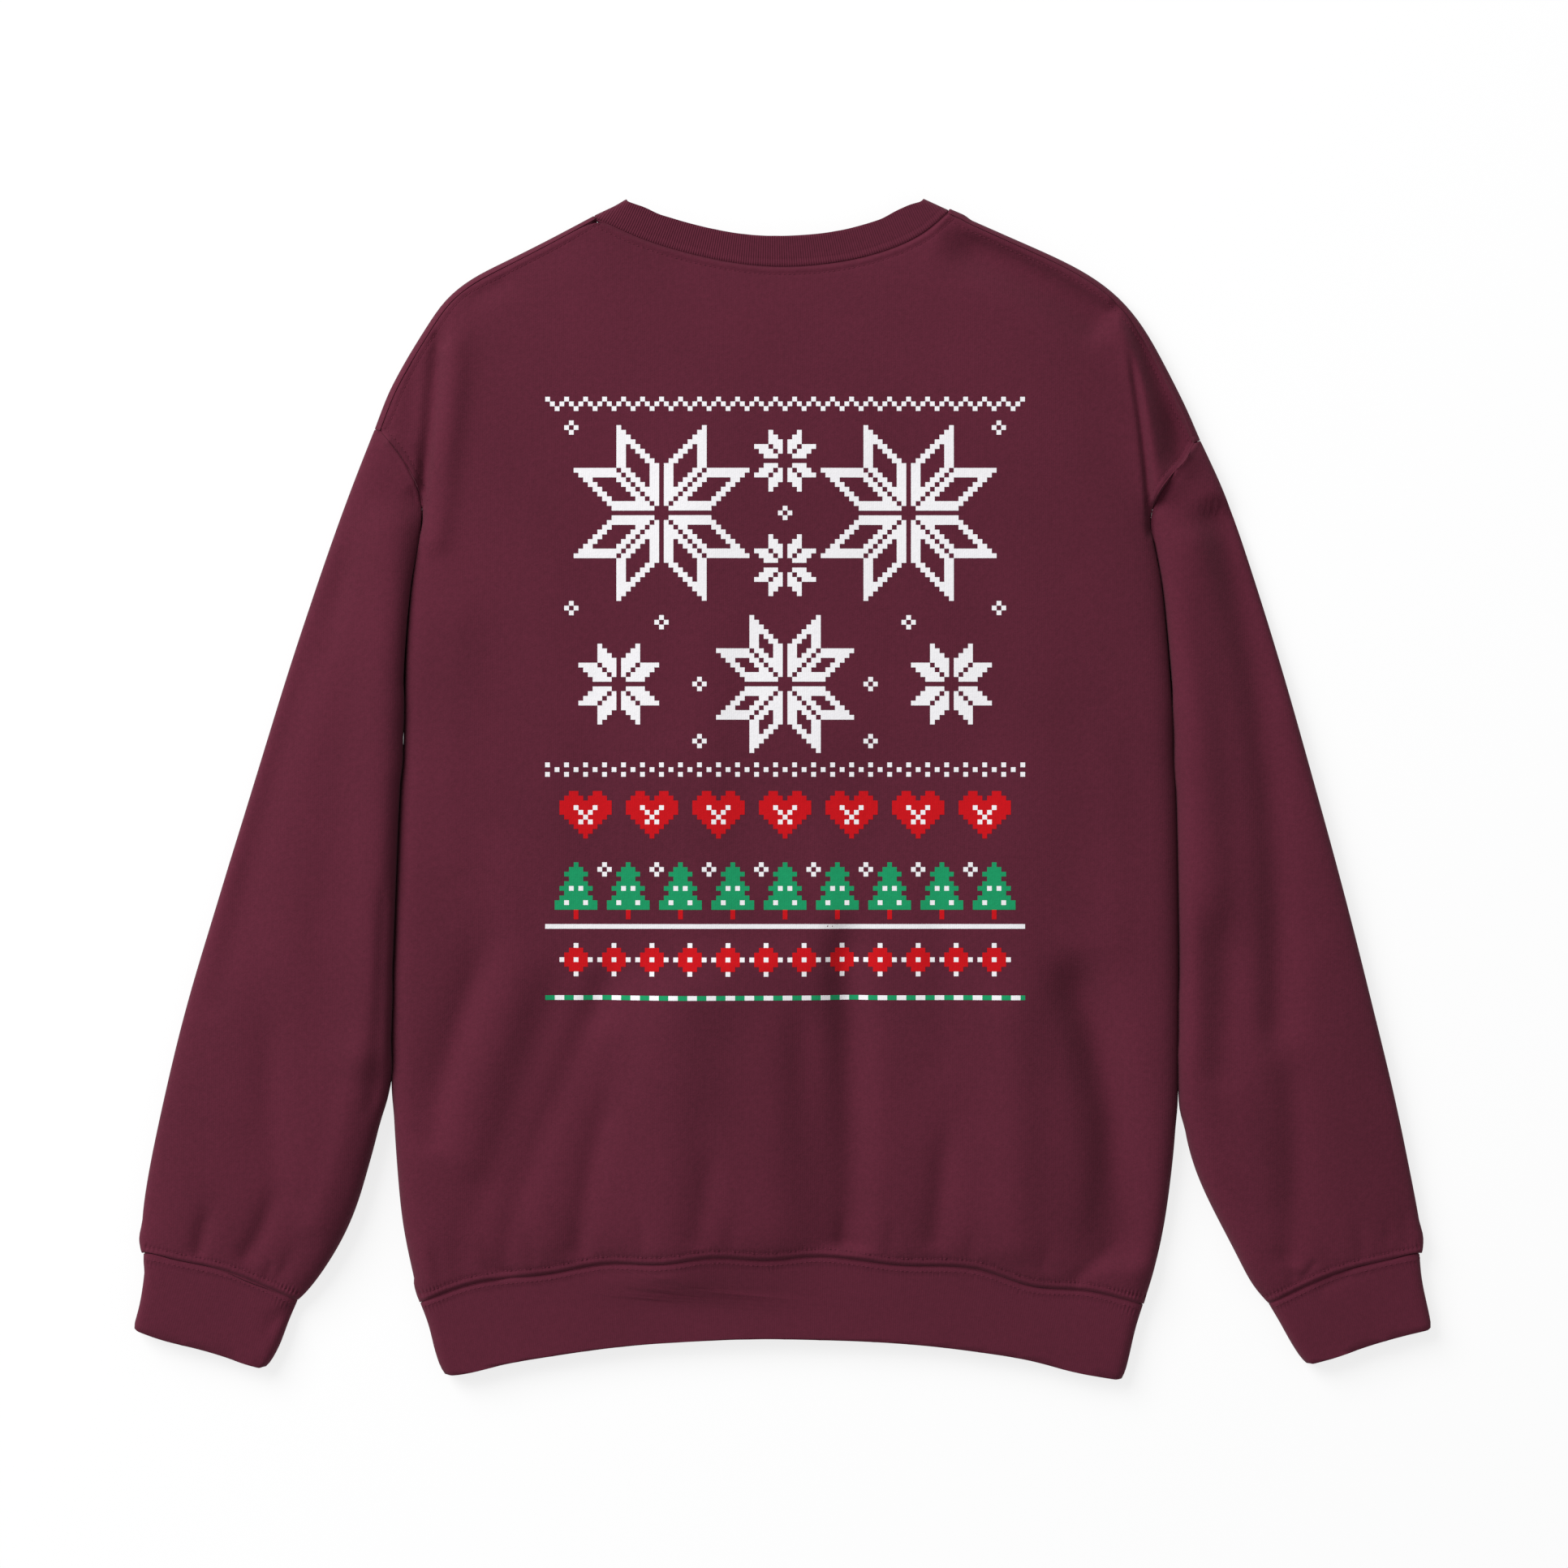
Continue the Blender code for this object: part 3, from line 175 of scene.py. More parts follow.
# Where the cloth bulges sideways against its neighbour or over a cuff, and where a corner is
# rounded: the ends of a line, how far from it the bulge reaches and where it goes, in mm:
# x0, y0, x1, y1, reach, dx, dy
BODY_BULGES = (
    (-250, 0, -253.5, -192, 22.0, -0.8, 0.0),
    (255, 0, 256, -200, 22.0, 0.8, 0.0),
    (109, 377, 117, 373, 7.0, 0.3, 1.3),
    (-239, -327, -238.5, -322, 6.0, -1.2, 0.0),
)
BULGES = {
    "back_panel": BODY_BULGES,
    "front_panel": BODY_BULGES,
    "left_sleeve": (
        (-249, 15, -256, -192, 22.0, 1.0, 0.0),
        (-246, 56, -247, 20, 16.0, 1.0, 0.0),
        (-254, -136, -256, -180, 18.0, 0.9, 0.0),
        (-256, -186, -257, -197, 26.0, 1.3, 0.0),
        (-417, -294, -415, -302, 15.0, -2.2, 0.0),
    ),
    "right_sleeve": (
        (256, 15, 258, -200, 22.0, -0.9, 0.0),
        (254, 50, 255, 12, 16.0, -0.9, 0.0),
        (257, -138, 258, -165, 16.0, -0.8, 0.0),
        (258, -176, 259, -206, 16.0, -1.2, 0.0),
        (415, -292, 415, -302, 14.0, 1.6, 0.0),
    ),
    "left_cuff": (
        (-414, -302, -414, -305, 9.0, -1.0, 0.0),
        (-422.4, -349.9, -422, -350, 5.0, 0.9, 0.3),
        (-334.9, -375.5, -335, -375, 5.0, -0.4, 0.9),
    ),
    "right_cuff": (
        (422, -349.4, 422, -349, 5.0, -0.9, 0.3),
        (339.4, -373.3, 339, -373, 5.0, 0.4, 0.9),
    ),
    "waistband": (
        (-220.6, -380.4, -220, -380, 6.0, 0.8, 0.8),
        (221.3, -383.4, 221, -383, 6.0, -0.8, 0.8),
    ),
    "neckband": (
        (-96, 378.5, -92, 377, 14.0, 0.0, 1.5),
        (80, 378, 75, 376, 14.0, 0.0, 1.4),
    ),
}

# The armhole seams lie on smooth cloth above the crease between body and sleeve, in mm: how much
# it is filled, how far to both sides, and the lengths over which that fades at the seam's ends
ARMHOLE_FILL = 6.6
ARMHOLE_FILL_REACH = 15.0
ARMHOLE_FILL_START = 14.0
ARMHOLE_FILL_END = 9.0

# The waistband's ribs run from its seam to its hem, which is narrower by this ratio, in mm
WAIST_TOP = -320.0
WAIST_HEM = -378.0
WAIST_SPREAD = 1.07
# The neckband's ribs point to this place, from this far away, in mm
NECK_CENTRE = (-7.0, 540.0)
NECK_RADIUS = 190.0
# Directions across the cuffs' ribs
LEFT_CUFF_ACROSS = (98, -28)
RIGHT_CUFF_ACROSS = (98, 30)
# How the cloth takes the light, and how high its loops stand in metres
CLOTH_LOOK = (("Roughness", 0.92), ("Sheen Weight", 0.03), ("Sheen Roughness", 0.6),
              ("Specular IOR Level", 0.12))
KNIT_HEIGHT = 0.0006
# Painted shade of open ribs: how much their colour is darkened in the furrows and lightened on the
# crests, as a share of it; and how far the ribs of the waistband and the cuffs stand open
RIB_PAINTED_SHADE = 0.05
CLOSED_RIBS = 0.13

# Edges of the cloth that turn by more degrees than this are rims, and stay this sharp
RIM_ANGLE = 60.0
RIM_CREASE = 0.8
# The upper side's faces near a seam lie over this height, and are cut this many times
SEAM_LEAST_HEIGHT = 0.006
SEAM_CUTS = 2

# Seam lines on the upper side, in mm: x, y
NECK_SEAM = ((-121, 370), (-93.5, 357.5), (-55.5, 346), (-18, 339.5), (19, 339.5), (57, 346),
             (94.5, 362.5), (106.5, 373))
WAIST_SEAM = ((-236, -333), (-203, -321), (-150, -314), (-115, -307.5), (-80, -307.5),
              (-46, -303), (-11, -305), (22, -302.5), (74, -308.5), (126, -311), (162, -322.5),
              (197, -325), (234, -334))
LEFT_CUFF_SEAM = ((-413, -301), (-391.8, -305.6), (-363.4, -311.6), (-321.3, -328.4),
                  (-315.5, -331))
RIGHT_CUFF_SEAM = ((412.5, -301), (384.5, -306.8), (356.1, -314.7), (327.6, -327.4),
                   (316, -333))
LEFT_SHOULDER_SEAM = ((-259, 236), (-246, 267), (-227, 299), (-210, 321), (-181, 337),
                      (-148, 354), (-121, 369.5))
RIGHT_SHOULDER_SEAM = ((266, 229), (247, 268), (230, 299), (210, 321), (184, 337), (147, 354),
                       (107, 373))
LEFT_ARMHOLE = ((-261, 232), (-249.5, 219), (-243, 209), (-237, 198), (-234, 187))
RIGHT_ARMHOLE = ((267, 225), (260, 213), (251, 203), (243, 192), (239, 183))

# Seams: name, line, and in mm how deep the cloth dips at the line, how far the roll beside it and
# the stitched groove lie from the line, how high the roll is, and how high its puckers are
SEAMS = (
    ("neck", NECK_SEAM, 0.55, 2.2, 5.0, 0.50, 0.00),
    ("waist", WAIST_SEAM, 0.40, 2.6, 5.4, 0.85, 0.40),
    ("left_cuff", LEFT_CUFF_SEAM, 0.40, 2.6, 5.2, 0.80, 0.36),
    ("right_cuff", RIGHT_CUFF_SEAM, 0.40, 2.6, 5.2, 0.80, 0.34),
    ("left_shoulder", LEFT_SHOULDER_SEAM, 0.20, 1.6, 3.6, 0.10, 0.00),
    ("right_shoulder", RIGHT_SHOULDER_SEAM, 0.20, 1.6, 3.6, 0.10, 0.00),
    ("left_armhole", LEFT_ARMHOLE, 0.35, 1.8, 4.0, 0.30, 0.06),
    ("right_armhole", RIGHT_ARMHOLE, 0.35, 1.8, 4.0, 0.30, 0.06),
)
SEAM_TABLES = {name: table for name, table, *_ in SEAMS}
SEAM_POINTS = 48
# Points on a smooth line before they are spaced evenly, for each point of its table
LINE_FINENESS = 20
# The sewn edges under the seams: points along a seam and where they go on past its ends, sides of
# the round edge, how far to both sides of it cloth has to lie, how deep below the cloth its middle
# lies, and its radius, in mm
ALLOWANCE_POINTS = 200
ALLOWANCE_ENDS = (6.0, 5.0, 4.0, 3.0, 2.0, 1.0)
ALLOWANCE_SIDES = 8
ALLOWANCE_PROBE = 1.2
ALLOWANCE_DEPTH = 1.9
ALLOWANCE_RADIUS = 1.3
# The relief of a seam, in mm: how far it reaches, how wide the seam, the roll and the groove are,
# how deep the groove is, and how long and wide the puckers are
SEAM_REACH = 9.0
SEAM_HALF_WIDTH = 0.9
ROLL_HALF_WIDTH = 1.6
GROOVE_HALF_WIDTH = 0.8
GROOVE_DEPTH = 0.20
PUCKER_PITCH = 2.5
PUCKER_HALF_WIDTH = 2.2
# The bands take this share of the seams' relief
BAND_RELIEF = 0.6

# The top of the cloth is looked for from the first height down to the second, in metres
PROBE_TOP = 0.1
PROBE_FOOT = 0.004

# Rows of stitches: seam, distance from its line in mm, a place on the side where the row lies
STITCH_ROWS = (
    ("neck", 5.0, (0, 0)),
    ("waist", 5.4, (0, 0)),
    ("waist", 3.0, (0, -900)),
    ("left_cuff", 5.2, (-350, 0)),
    ("left_cuff", 3.0, (-380, -900)),
    ("right_cuff", 5.2, (350, 0)),
    ("right_cuff", 3.0, (380, -900)),
    ("left_shoulder", 3.6, (0, 0)),
    ("right_shoulder", 3.6, (0, 0)),
    ("left_armhole", 4.0, (0, 0)),
    ("right_armhole", 4.0, (0, 0)),
)

# Points that measure a seam's length for its stitches, and how many stitches there are at least
STITCH_LINE_POINTS = 60
FEWEST_STITCHES = 4
# The thread has the fleece's colour, painted this much lighter as a highlight for its sheen
THREAD_HIGHLIGHT = 1.25

# Charts of the print, one mark a cell
HEART = (
    "..rr...rr..",
    ".rrrr.rrrr.",
    "rrrrrrrrrrr",
    "rrrwrrrwrrr",
    "rrrrwrwrrrr",
    ".rrrrwrrrr.",
    "..rrwrwrr..",
    "...rrrrr...",
    "....rrr....",
    ".....r.....",
)
FIR_TREE = (
    "....g....",
    "...ggg...",
    "..ggggg..",
    "...ggg...",
    "..ggggg..",
    ".ggwgwgg.",
    "..ggggg..",
    ".ggggggg.",
    "ggwgggwgg",
    "ggggggggg",
    "....r....",
    "....r....",
)
DIAMOND = (
    "...w...",
    "..rrr..",
    ".rrrrr.",
    "wrrwrrw",
    ".rrrrr.",
    "..rrr..",
    "...w...",
)
SEED = (".w.", "w.w", ".w.")
PRINT_COLUMNS = 101
PRINT_ROWS = 127
# Eight-petalled stars: column, row of the middle, petal size in cells
STARS = ((24, 24, 9), (76, 24, 9), (50, 13, 3), (50, 35, 3), (50, 60, 7), (15, 60, 4), (85, 60, 4))
SEEDS = ((5, 6), (95, 6), (5, 44), (95, 44), (50, 24), (32, 60), (68, 60), (24, 47), (76, 47),
         (32, 72), (68, 72))
# Rows of charts: chart, how many, first column, columns from one to the next, top row
CHART_ROWS = (
    (HEART, 7, 8, 14, 83),
    (FIR_TREE, 9, 6, 11, 98),
    (SEED, 8, 12, 11, 98),
    (DIAMOND, 12, 6, 8, 115),
)
# Top row of the band of dots in the middle, and the row of the line under the firs
DOTS_ROW = 77
LINE_ROW = 111
# Marks of the white, red and green ink, and how high the ink lies on the cloth in metres
MARKS = ("w", "r", "g")
INK_THICKNESS = 0.00012

# Place of the key light, its side, and the camera's place over the middle of the cloth, in metres
KEY_LIGHT_PLACE = (-3.7, 3.3, 3.6)
KEY_LIGHT_SIZE = 4.0
CAMERA_PLACE = (0.0008, 0.0037)
CLOTH_LEVEL = 0.010
# Focal length and picture width of the camera, in mm
LENS = 100.0
SENSOR = 36.0
# The floor: half its side and how far it lies under the cloth, in metres, and its colour
FLOOR_SIZE = 3.0
FLOOR_SQUARES = 8
FLOOR_DROP = 0.0004
FLOOR_COLOUR = (0.198, 0.198, 0.199, 1.0)
WHITE = (1.0, 1.0, 1.0, 1.0)


class ClothSettings(bpy.types.PropertyGroup):
    """Colours and fineness of the cloth."""

    fleece_colour: FloatVectorProperty(
        name="Fleece colour", description="Colour of the fleece", subtype="COLOR",
        default=(0.0865, 0.0123, 0.0266), size=3, min=0, max=1)
    rib_colour: FloatVectorProperty(
        name="Rib colour", description="Colour of the rib knit", subtype="COLOR",
        default=(0.0865, 0.0123, 0.0266), size=3, min=0, max=1)
    rib_pitch: FloatProperty(
        name="Rib pitch", description="Distance from one rib to the next", subtype="DISTANCE",
        unit="LENGTH", default=0.0015, min=0.0005)
    rib_depth: FloatProperty(
        name="Rib depth", description="How far the ribs stand up", subtype="DISTANCE",
        unit="LENGTH", default=0.0003, min=0)
    subdivisions: IntProperty(
        name="Subdivisions", description="Smoothing steps of the cloth", default=2, min=0, max=3)


class StitchSettings(bpy.types.PropertyGroup):
    """Sizes of the seam stitches."""

    length: FloatProperty(
        name="Stitch length", description="Length of one stitch", subtype="DISTANCE",
        unit="LENGTH", default=0.0024, min=0.0005)
    spacing: FloatProperty(
        name="Stitch spacing", description="From one stitch to the next", subtype="DISTANCE",
        unit="LENGTH", default=0.0031, min=0.0005)
    thickness: FloatProperty(
        name="Thread thickness", description="Width of the thread", subtype="DISTANCE",
        unit="LENGTH", default=0.0006, min=0.0001)


class PrintSettings(bpy.types.PropertyGroup):
    """Colours and place of the print."""

    white: FloatVectorProperty(
        name="White ink", description="Colour of the white ink", subtype="COLOR",
        default=(0.76, 0.75, 0.77), size=3, min=0, max=1)
    red: FloatVectorProperty(
        name="Red ink", description="Colour of the red ink", subtype="COLOR",
        default=(0.49, 0.003, 0.007), size=3, min=0, max=1)
    green: FloatVectorProperty(
        name="Green ink", description="Colour of the green ink", subtype="COLOR",
        default=(0.008, 0.265, 0.105), size=3, min=0, max=1)
    cell: FloatProperty(
        name="Cell", description="Side of one cell of the chart", subtype="DISTANCE",
        unit="LENGTH", default=0.00307, min=0.001)
    middle: FloatProperty(
        name="Middle", description="Where the print's middle lies across the back",
        subtype="DISTANCE", unit="LENGTH", default=0.0015)
    top: FloatProperty(
        name="Top", description="Where the print's top lies", subtype="DISTANCE",
        unit="LENGTH", default=0.254)


class StudioSettings(bpy.types.PropertyGroup):
    """Light and camera."""

    key_power: FloatProperty(
        name="Key light", description="Power of the large light", subtype="POWER",
        unit="POWER", default=500.0, min=0)
    fill_strength: FloatProperty(
        name="Fill", description="Strength of the light from all round", default=0.42, min=0)
    floor_glow: FloatProperty(
        name="Floor glow", description="Light that comes up through the white floor",
        default=0.777, min=0)
    picture_width: FloatProperty(
        name="Picture width", description="Width that the camera sees at the cloth",
        subtype="DISTANCE", unit="LENGTH", default=1.0168, min=0.1)


def line_length(line):
    """Length of a line of points."""
    return np.linalg.norm(np.diff(line, axis=0), axis=1).sum()


def line_directions(line):
    """Unit vectors along a line of points, and the ones to their left."""
    along = np.gradient(line, axis=0)
    along /= np.linalg.norm(along, axis=1)[:, None]
    return along, np.column_stack((-along[:, 1], along[:, 0]))


def smooth_line(table, count):
    """Evenly spaced points on a smooth line through the table, in metres."""
    knots = np.array(table, float) * MM
    steps = np.linalg.norm(np.diff(knots, axis=0), axis=1)
    at = np.concatenate(([0.0], np.cumsum(steps)))
    slopes = np.gradient(knots, at, axis=0)
    dense = np.linspace(0.0, at[-1], LINE_FINENESS * len(knots))
    span = np.clip(np.searchsorted(at, dense, side="right") - 1, 0, len(knots) - 2)
    width = (at[span + 1] - at[span])[:, None]
    t = ((dense - at[span]) / width[:, 0])[:, None]
    line = (
        knots[span] * (2 * t**3 - 3 * t**2 + 1)
        + slopes[span] * width * (t**3 - 2 * t**2 + t)
        + knots[span + 1] * (3 * t**2 - 2 * t**3)
        + slopes[span + 1] * width * (t**3 - t**2)
    )
    lengths = np.concatenate(([0.0], np.cumsum(np.linalg.norm(np.diff(line, axis=0), axis=1))))
    wanted = np.linspace(0.0, lengths[-1], count)
    return np.column_stack([np.interp(wanted, lengths, line[:, axis]) for axis in (0, 1)])


def distance_to(line, points):
    """Distance of each point from the line, and how far along the line's points that is."""
    starts = line[:-1]
    spans = line[1:] - starts
    offset = points[:, None, :] - starts
    share = np.clip(np.sum(offset * spans, axis=-1) / np.sum(spans**2, axis=-1), 0.0, 1.0)
    gaps = np.linalg.norm(offset - share[..., None] * spans, axis=-1)
    nearest = np.argmin(gaps, axis=1)
    rows = np.arange(len(points))
    return gaps[rows, nearest], nearest + share[rows, nearest]


def crease_height(creases, plan):
    """Height that the creases add at each point, in metres."""
    total = np.zeros(len(plan))
    for x0, y0, x1, y1, x2, y2, half_width, height in creases:
        start, middle, end = np.array([[x0, y0], [x1, y1], [x2, y2]], float) * MM
        reach = CREASE_REACH * half_width * MM
        low = np.minimum(np.minimum(start, middle), end) - reach
        high = np.maximum(np.maximum(start, middle), end) + reach
        near = np.nonzero(np.all((plan > low) & (plan < high), axis=1))[0]
        if len(near) == 0:
            continue
        t = np.linspace(0.0, 1.0, CREASE_POINTS)[:, None]
        handle = 2 * middle - 0.5 * (start + end)
        line = start * (1 - t) ** 2 + 2 * handle * t * (1 - t) + end * t**2
        gap, along = distance_to(line, plan[near])
        length = line_length(line)
        place = along / (CREASE_POINTS - 1) * length
        rise = np.clip(place / min(CREASE_START * MM, CREASE_END_SHARE * length), 0.0, 1.0)
        shortest = max(CREASE_END, CREASE_END_WIDTHS * half_width) * MM
        fall = (length - place) / min(shortest, CREASE_END_SHARE * length)
        ends = np.minimum(rise, np.clip(fall, 0.0, 1.0))
        ends = ends * ends * (3 - 2 * ends)
        total[near] += height * MM * np.exp(-((gap / (half_width * MM)) ** 2)) * ends
    return total


def bulge(name, plan):
    """How far each point of a piece moves sideways, in metres."""
    total = np.zeros(plan.shape)
    for x0, y0, x1, y1, reach, dx, dy in BULGES.get(name, ()):
        gap, _ = distance_to(np.array(((x0, y0), (x1, y1))) * MM, plan)
        share = np.clip(1.0 - (gap / (reach * MM)) ** 2, 0.0, 1.0) ** 2
        total += share[:, None] * np.array((dx, dy)) * MM
    return total


def seam_relief(plan):
    """Height of the rolls, stitched grooves and puckers along the seams, in metres."""
    total = np.zeros(len(plan))
    for _, table, depth, roll_place, groove_place, roll_height, pucker_height in SEAMS:
        line = smooth_line(table, SEAM_POINTS)
        reach = SEAM_REACH * MM
        inside = (plan > line.min(axis=0) - reach) & (plan < line.max(axis=0) + reach)
        near = np.nonzero(np.all(inside, axis=1))[0]
        if len(near) == 0:
            continue
        gap, along = distance_to(line, plan[near])
        gap = gap / MM
        length = line_length(line) / MM
        place = along / (SEAM_POINTS - 1) * length
        groove = np.exp(-(((gap - groove_place) / GROOVE_HALF_WIDTH) ** 2))
        roll = np.exp(-(((gap - roll_place) / ROLL_HALF_WIDTH) ** 2))
        pucker = np.exp(-(((gap - groove_place) / PUCKER_HALF_WIDTH) ** 2))
        total[near] += MM * (
            roll_height * roll
            - depth * np.exp(-((gap / SEAM_HALF_WIDTH) ** 2))
            - GROOVE_DEPTH * groove
            + pucker_height * pucker * np.cos(2 * math.pi * place / PUCKER_PITCH)
        )
    return total


def armhole_fill(plan):
    """Height that fills the roll on both sides of the upper armhole seams, in metres."""
    total = np.zeros(len(plan))
    for table in (LEFT_ARMHOLE, RIGHT_ARMHOLE):
        line = smooth_line(table, SEAM_POINTS)
        gap, along = distance_to(line, plan)
        length = line_length(line) / MM
        place = along / (SEAM_POINTS - 1) * length
        share = np.clip(place / ARMHOLE_FILL_END, 0.0, 1.0)
        share = share * np.clip((length - place) / ARMHOLE_FILL_START, 0.0, 1.0)
        near = np.clip(1.0 - gap / MM / ARMHOLE_FILL_REACH, 0.0, 1.0)
        total += ARMHOLE_FILL * MM * (1.0 - np.sqrt(1.0 - near**2)) * share
    return total


def fine_lines(name):
    """Lines along which a piece needs small faces: the seams and its sharp creases."""
    lines = [smooth_line(table, SEAM_POINTS) for table in SEAM_TABLES.values()]
    for x0, y0, x1, y1, x2, y2, half_width, _ in CREASES.get(name, ()):
        if half_width < SHARP_CREASE:
            table = ((x0, y0), (x1, y1), (x2, y2))
            lines.append(smooth_line(table, SHARP_CREASE_POINTS))
    return lines


def refine_along_lines(mesh, name):
    """Splits the upper side's faces along the piece's fine lines."""
    faces = [face for face in mesh.faces if face.calc_center_median().z > SEAM_LEAST_HEIGHT]
    middles = np.array([face.calc_center_median()[:2] for face in faces])
    near = np.zeros(len(faces), bool)
    for line in fine_lines(name):
        gap, _ = distance_to(line, middles)
        near |= gap < SEAM_REACH * MM
    close = [face for face, chosen in zip(faces, near) if chosen]
    edges = {edge: None for face in close for edge in face.edges}
    bmesh.ops.subdivide_edges(mesh, edges=list(edges), cuts=SEAM_CUTS, use_grid_fill=True)


def refined_copy(node, levels):
    """A merged and smoothed copy of a CAD node's mesh, as a bmesh."""
    rough = bmesh.new()
    rough.from_mesh(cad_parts[node].data)
    bmesh.ops.remove_doubles(rough, verts=rough.verts, dist=MERGE_DISTANCE)
    bmesh.ops.join_triangles(
        rough, faces=rough.faces, angle_face_threshold=math.pi,
        angle_shape_threshold=math.pi, topology_influence=2.0)
    creases = rough.edges.layers.float.new("crease_edge")
    for edge in rough.edges:
        if edge.calc_face_angle() > math.radians(RIM_ANGLE):
            edge[creases] = RIM_CREASE
    mesh = bpy.data.meshes.new(node + "_rough")
    rough.to_mesh(mesh)
    rough.free()
    holder = bpy.data.objects.new(node + "_rough", mesh)
    bpy.context.scene.collection.objects.link(holder)
    smoothing = holder.modifiers.new("Smoothing", "SUBSURF")
    smoothing.levels = levels
    smoothing.render_levels = levels
    smooth = bpy.data.meshes.new_from_object(
        holder.evaluated_get(bpy.context.evaluated_depsgraph_get()))
    fine = bmesh.new()
    fine.from_mesh(smooth)
    bpy.data.objects.remove(holder, do_unlink=True)
    bpy.data.meshes.remove(mesh)
    bpy.data.meshes.remove(smooth)
    return fine


def finish_piece(mesh, name, materials, replaced=None):
    """Makes an object of a bmesh, smooth shaded, riding on the garment's body."""
    data = bpy.data.meshes.new(name)
    for face in mesh.faces:
        face.smooth = True
    mesh.to_mesh(data)
    mesh.free()
    for material in materials:
        data.materials.append(material)
    piece = bpy.data.objects.new(name, data)
    bpy.context.scene.collection.objects.link(piece)
    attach(piece, BODY)
    if replaced:
        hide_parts(replaced)
    return piece


def new_group(name, inputs, outputs):
    """An empty shader node group with the named inputs and outputs."""
    group = bpy.data.node_groups.new(name, "ShaderNodeTree")
    for label, kind, value in inputs:
        socket = group.interface.new_socket(name=label, in_out="INPUT", socket_type=kind)
        socket.default_value = value
    for label, kind in outputs:
        group.interface.new_socket(name=label, in_out="OUTPUT", socket_type=kind)
    return group, group.nodes.new("NodeGroupInput"), group.nodes.new("NodeGroupOutput")


def node(tree, kind, **values):
    """Adds a node and sets its named properties and input sockets."""
    made = tree.nodes.new(kind)
    for key, value in values.items():
        if key in made.inputs:
            made.inputs[key].default_value = value
        else:
            setattr(made, key, value)
    return made


def knit_group():
    """Group for the face of a knit: mottled colour, and the height of its loops and fuzz."""
    name = "Knit face"
    if name in bpy.data.node_groups:
        return bpy.data.node_groups[name]
    group, given, result = new_group(
        name,
        (("Colour", "NodeSocketColor", (0.1, 0.02, 0.04, 1)),
         ("Mottling", "NodeSocketFloat", 0.2),
         ("Coordinates", "NodeSocketVector", (0, 0, 0))),
        (("Colour", "NodeSocketColor"), ("Height", "NodeSocketFloat")))
    link = group.links.new
    fuzz = node(group, "ShaderNodeTexNoise", Scale=900.0, Detail=3.0, Roughness=0.6)
    lint = node(group, "ShaderNodeTexNoise", Scale=330.0, Detail=2.0, Roughness=0.55)
    cloud = node(group, "ShaderNodeTexNoise", Scale=12.0, Detail=3.0, Roughness=0.5)
    wales = node(group, "ShaderNodeTexWave", Scale=240.0, Distortion=1.2, Detail=1.0)
    for texture in (fuzz, lint, cloud, wales):
        link(given.outputs["Coordinates"], texture.inputs["Vector"])
    fine = node(group, "ShaderNodeMix", Factor=0.45)
    link(fuzz.outputs["Fac"], fine.inputs["A"])
    link(lint.outputs["Fac"], fine.inputs["B"])
    broad = node(group, "ShaderNodeMix", Factor=0.30)
    link(fine.outputs["Result"], broad.inputs["A"])
    link(cloud.outputs["Fac"], broad.inputs["B"])
    level = node(group, "ShaderNodeMapRange")
    level.inputs["From Min"].default_value = 0.35
    level.inputs["From Max"].default_value = 0.65
    level.inputs["To Min"].default_value = -1.0
    level.inputs["To Max"].default_value = 1.0
    link(broad.outputs["Result"], level.inputs["Value"])
    strength = node(group, "ShaderNodeMath", operation="MULTIPLY_ADD")
    strength.inputs[2].default_value = 1.0
    link(level.outputs["Result"], strength.inputs[0])
    link(given.outputs["Mottling"], strength.inputs[1])
    tint = node(group, "ShaderNodeVectorMath", operation="SCALE")
    link(given.outputs["Colour"], tint.inputs[0])
    link(strength.outputs[0], tint.inputs["Scale"])
    link(tint.outputs[0], result.inputs["Colour"])
    relief = node(group, "ShaderNodeMath", operation="MULTIPLY_ADD")
    relief.inputs[1].default_value = 0.11
    link(wales.outputs["Fac"], relief.inputs[0])
    link(fine.outputs["Result"], relief.inputs[2])
    link(relief.outputs[0], result.inputs["Height"])
    return group


def rib_group():
    """Group for rib knit: ribs side by side along the first coordinate, as a height and a painted
    shade that darkens their furrows and lightens their crests.
    """
    name = "Rib knit"
    if name in bpy.data.node_groups:
        return bpy.data.node_groups[name]
    group, given, result = new_group(
        name,
        (("Coordinates", "NodeSocketVector", (0, 0, 0)),
         ("Pitch", "NodeSocketFloat", 0.002),
         ("Contrast", "NodeSocketFloat", 0.05)),
        (("Height", "NodeSocketFloat"), ("Painted shade", "NodeSocketFloat")))
    link = group.links.new
    split = node(group, "ShaderNodeSeparateXYZ")
    link(given.outputs["Coordinates"], split.inputs[0])
    turns = node(group, "ShaderNodeMath", operation="DIVIDE")
    link(split.outputs["X"], turns.inputs[0])
    link(given.outputs["Pitch"], turns.inputs[1])
    angle = node(group, "ShaderNodeMath", operation="MULTIPLY")
    angle.inputs[1].default_value = 2 * math.pi
    link(turns.outputs[0], angle.inputs[0])
    wave = node(group, "ShaderNodeMath", operation="COSINE")
    link(angle.outputs[0], wave.inputs[0])
    height = node(group, "ShaderNodeMath", operation="MULTIPLY_ADD")
    height.inputs[1].default_value = 0.5
    height.inputs[2].default_value = 0.5
    link(wave.outputs[0], height.inputs[0])
    link(height.outputs[0], result.inputs["Height"])
    # Painted shade: a colour factor below 1 in the furrows of the ribs and above 1 on their crests
    shade_factor = node(group, "ShaderNodeMath", operation="MULTIPLY_ADD")
    shade_factor.inputs[2].default_value = 1.00
    link(wave.outputs[0], shade_factor.inputs[0])
    link(given.outputs["Contrast"], shade_factor.inputs[1])
    link(shade_factor.outputs[0], result.inputs["Painted shade"])
    return group


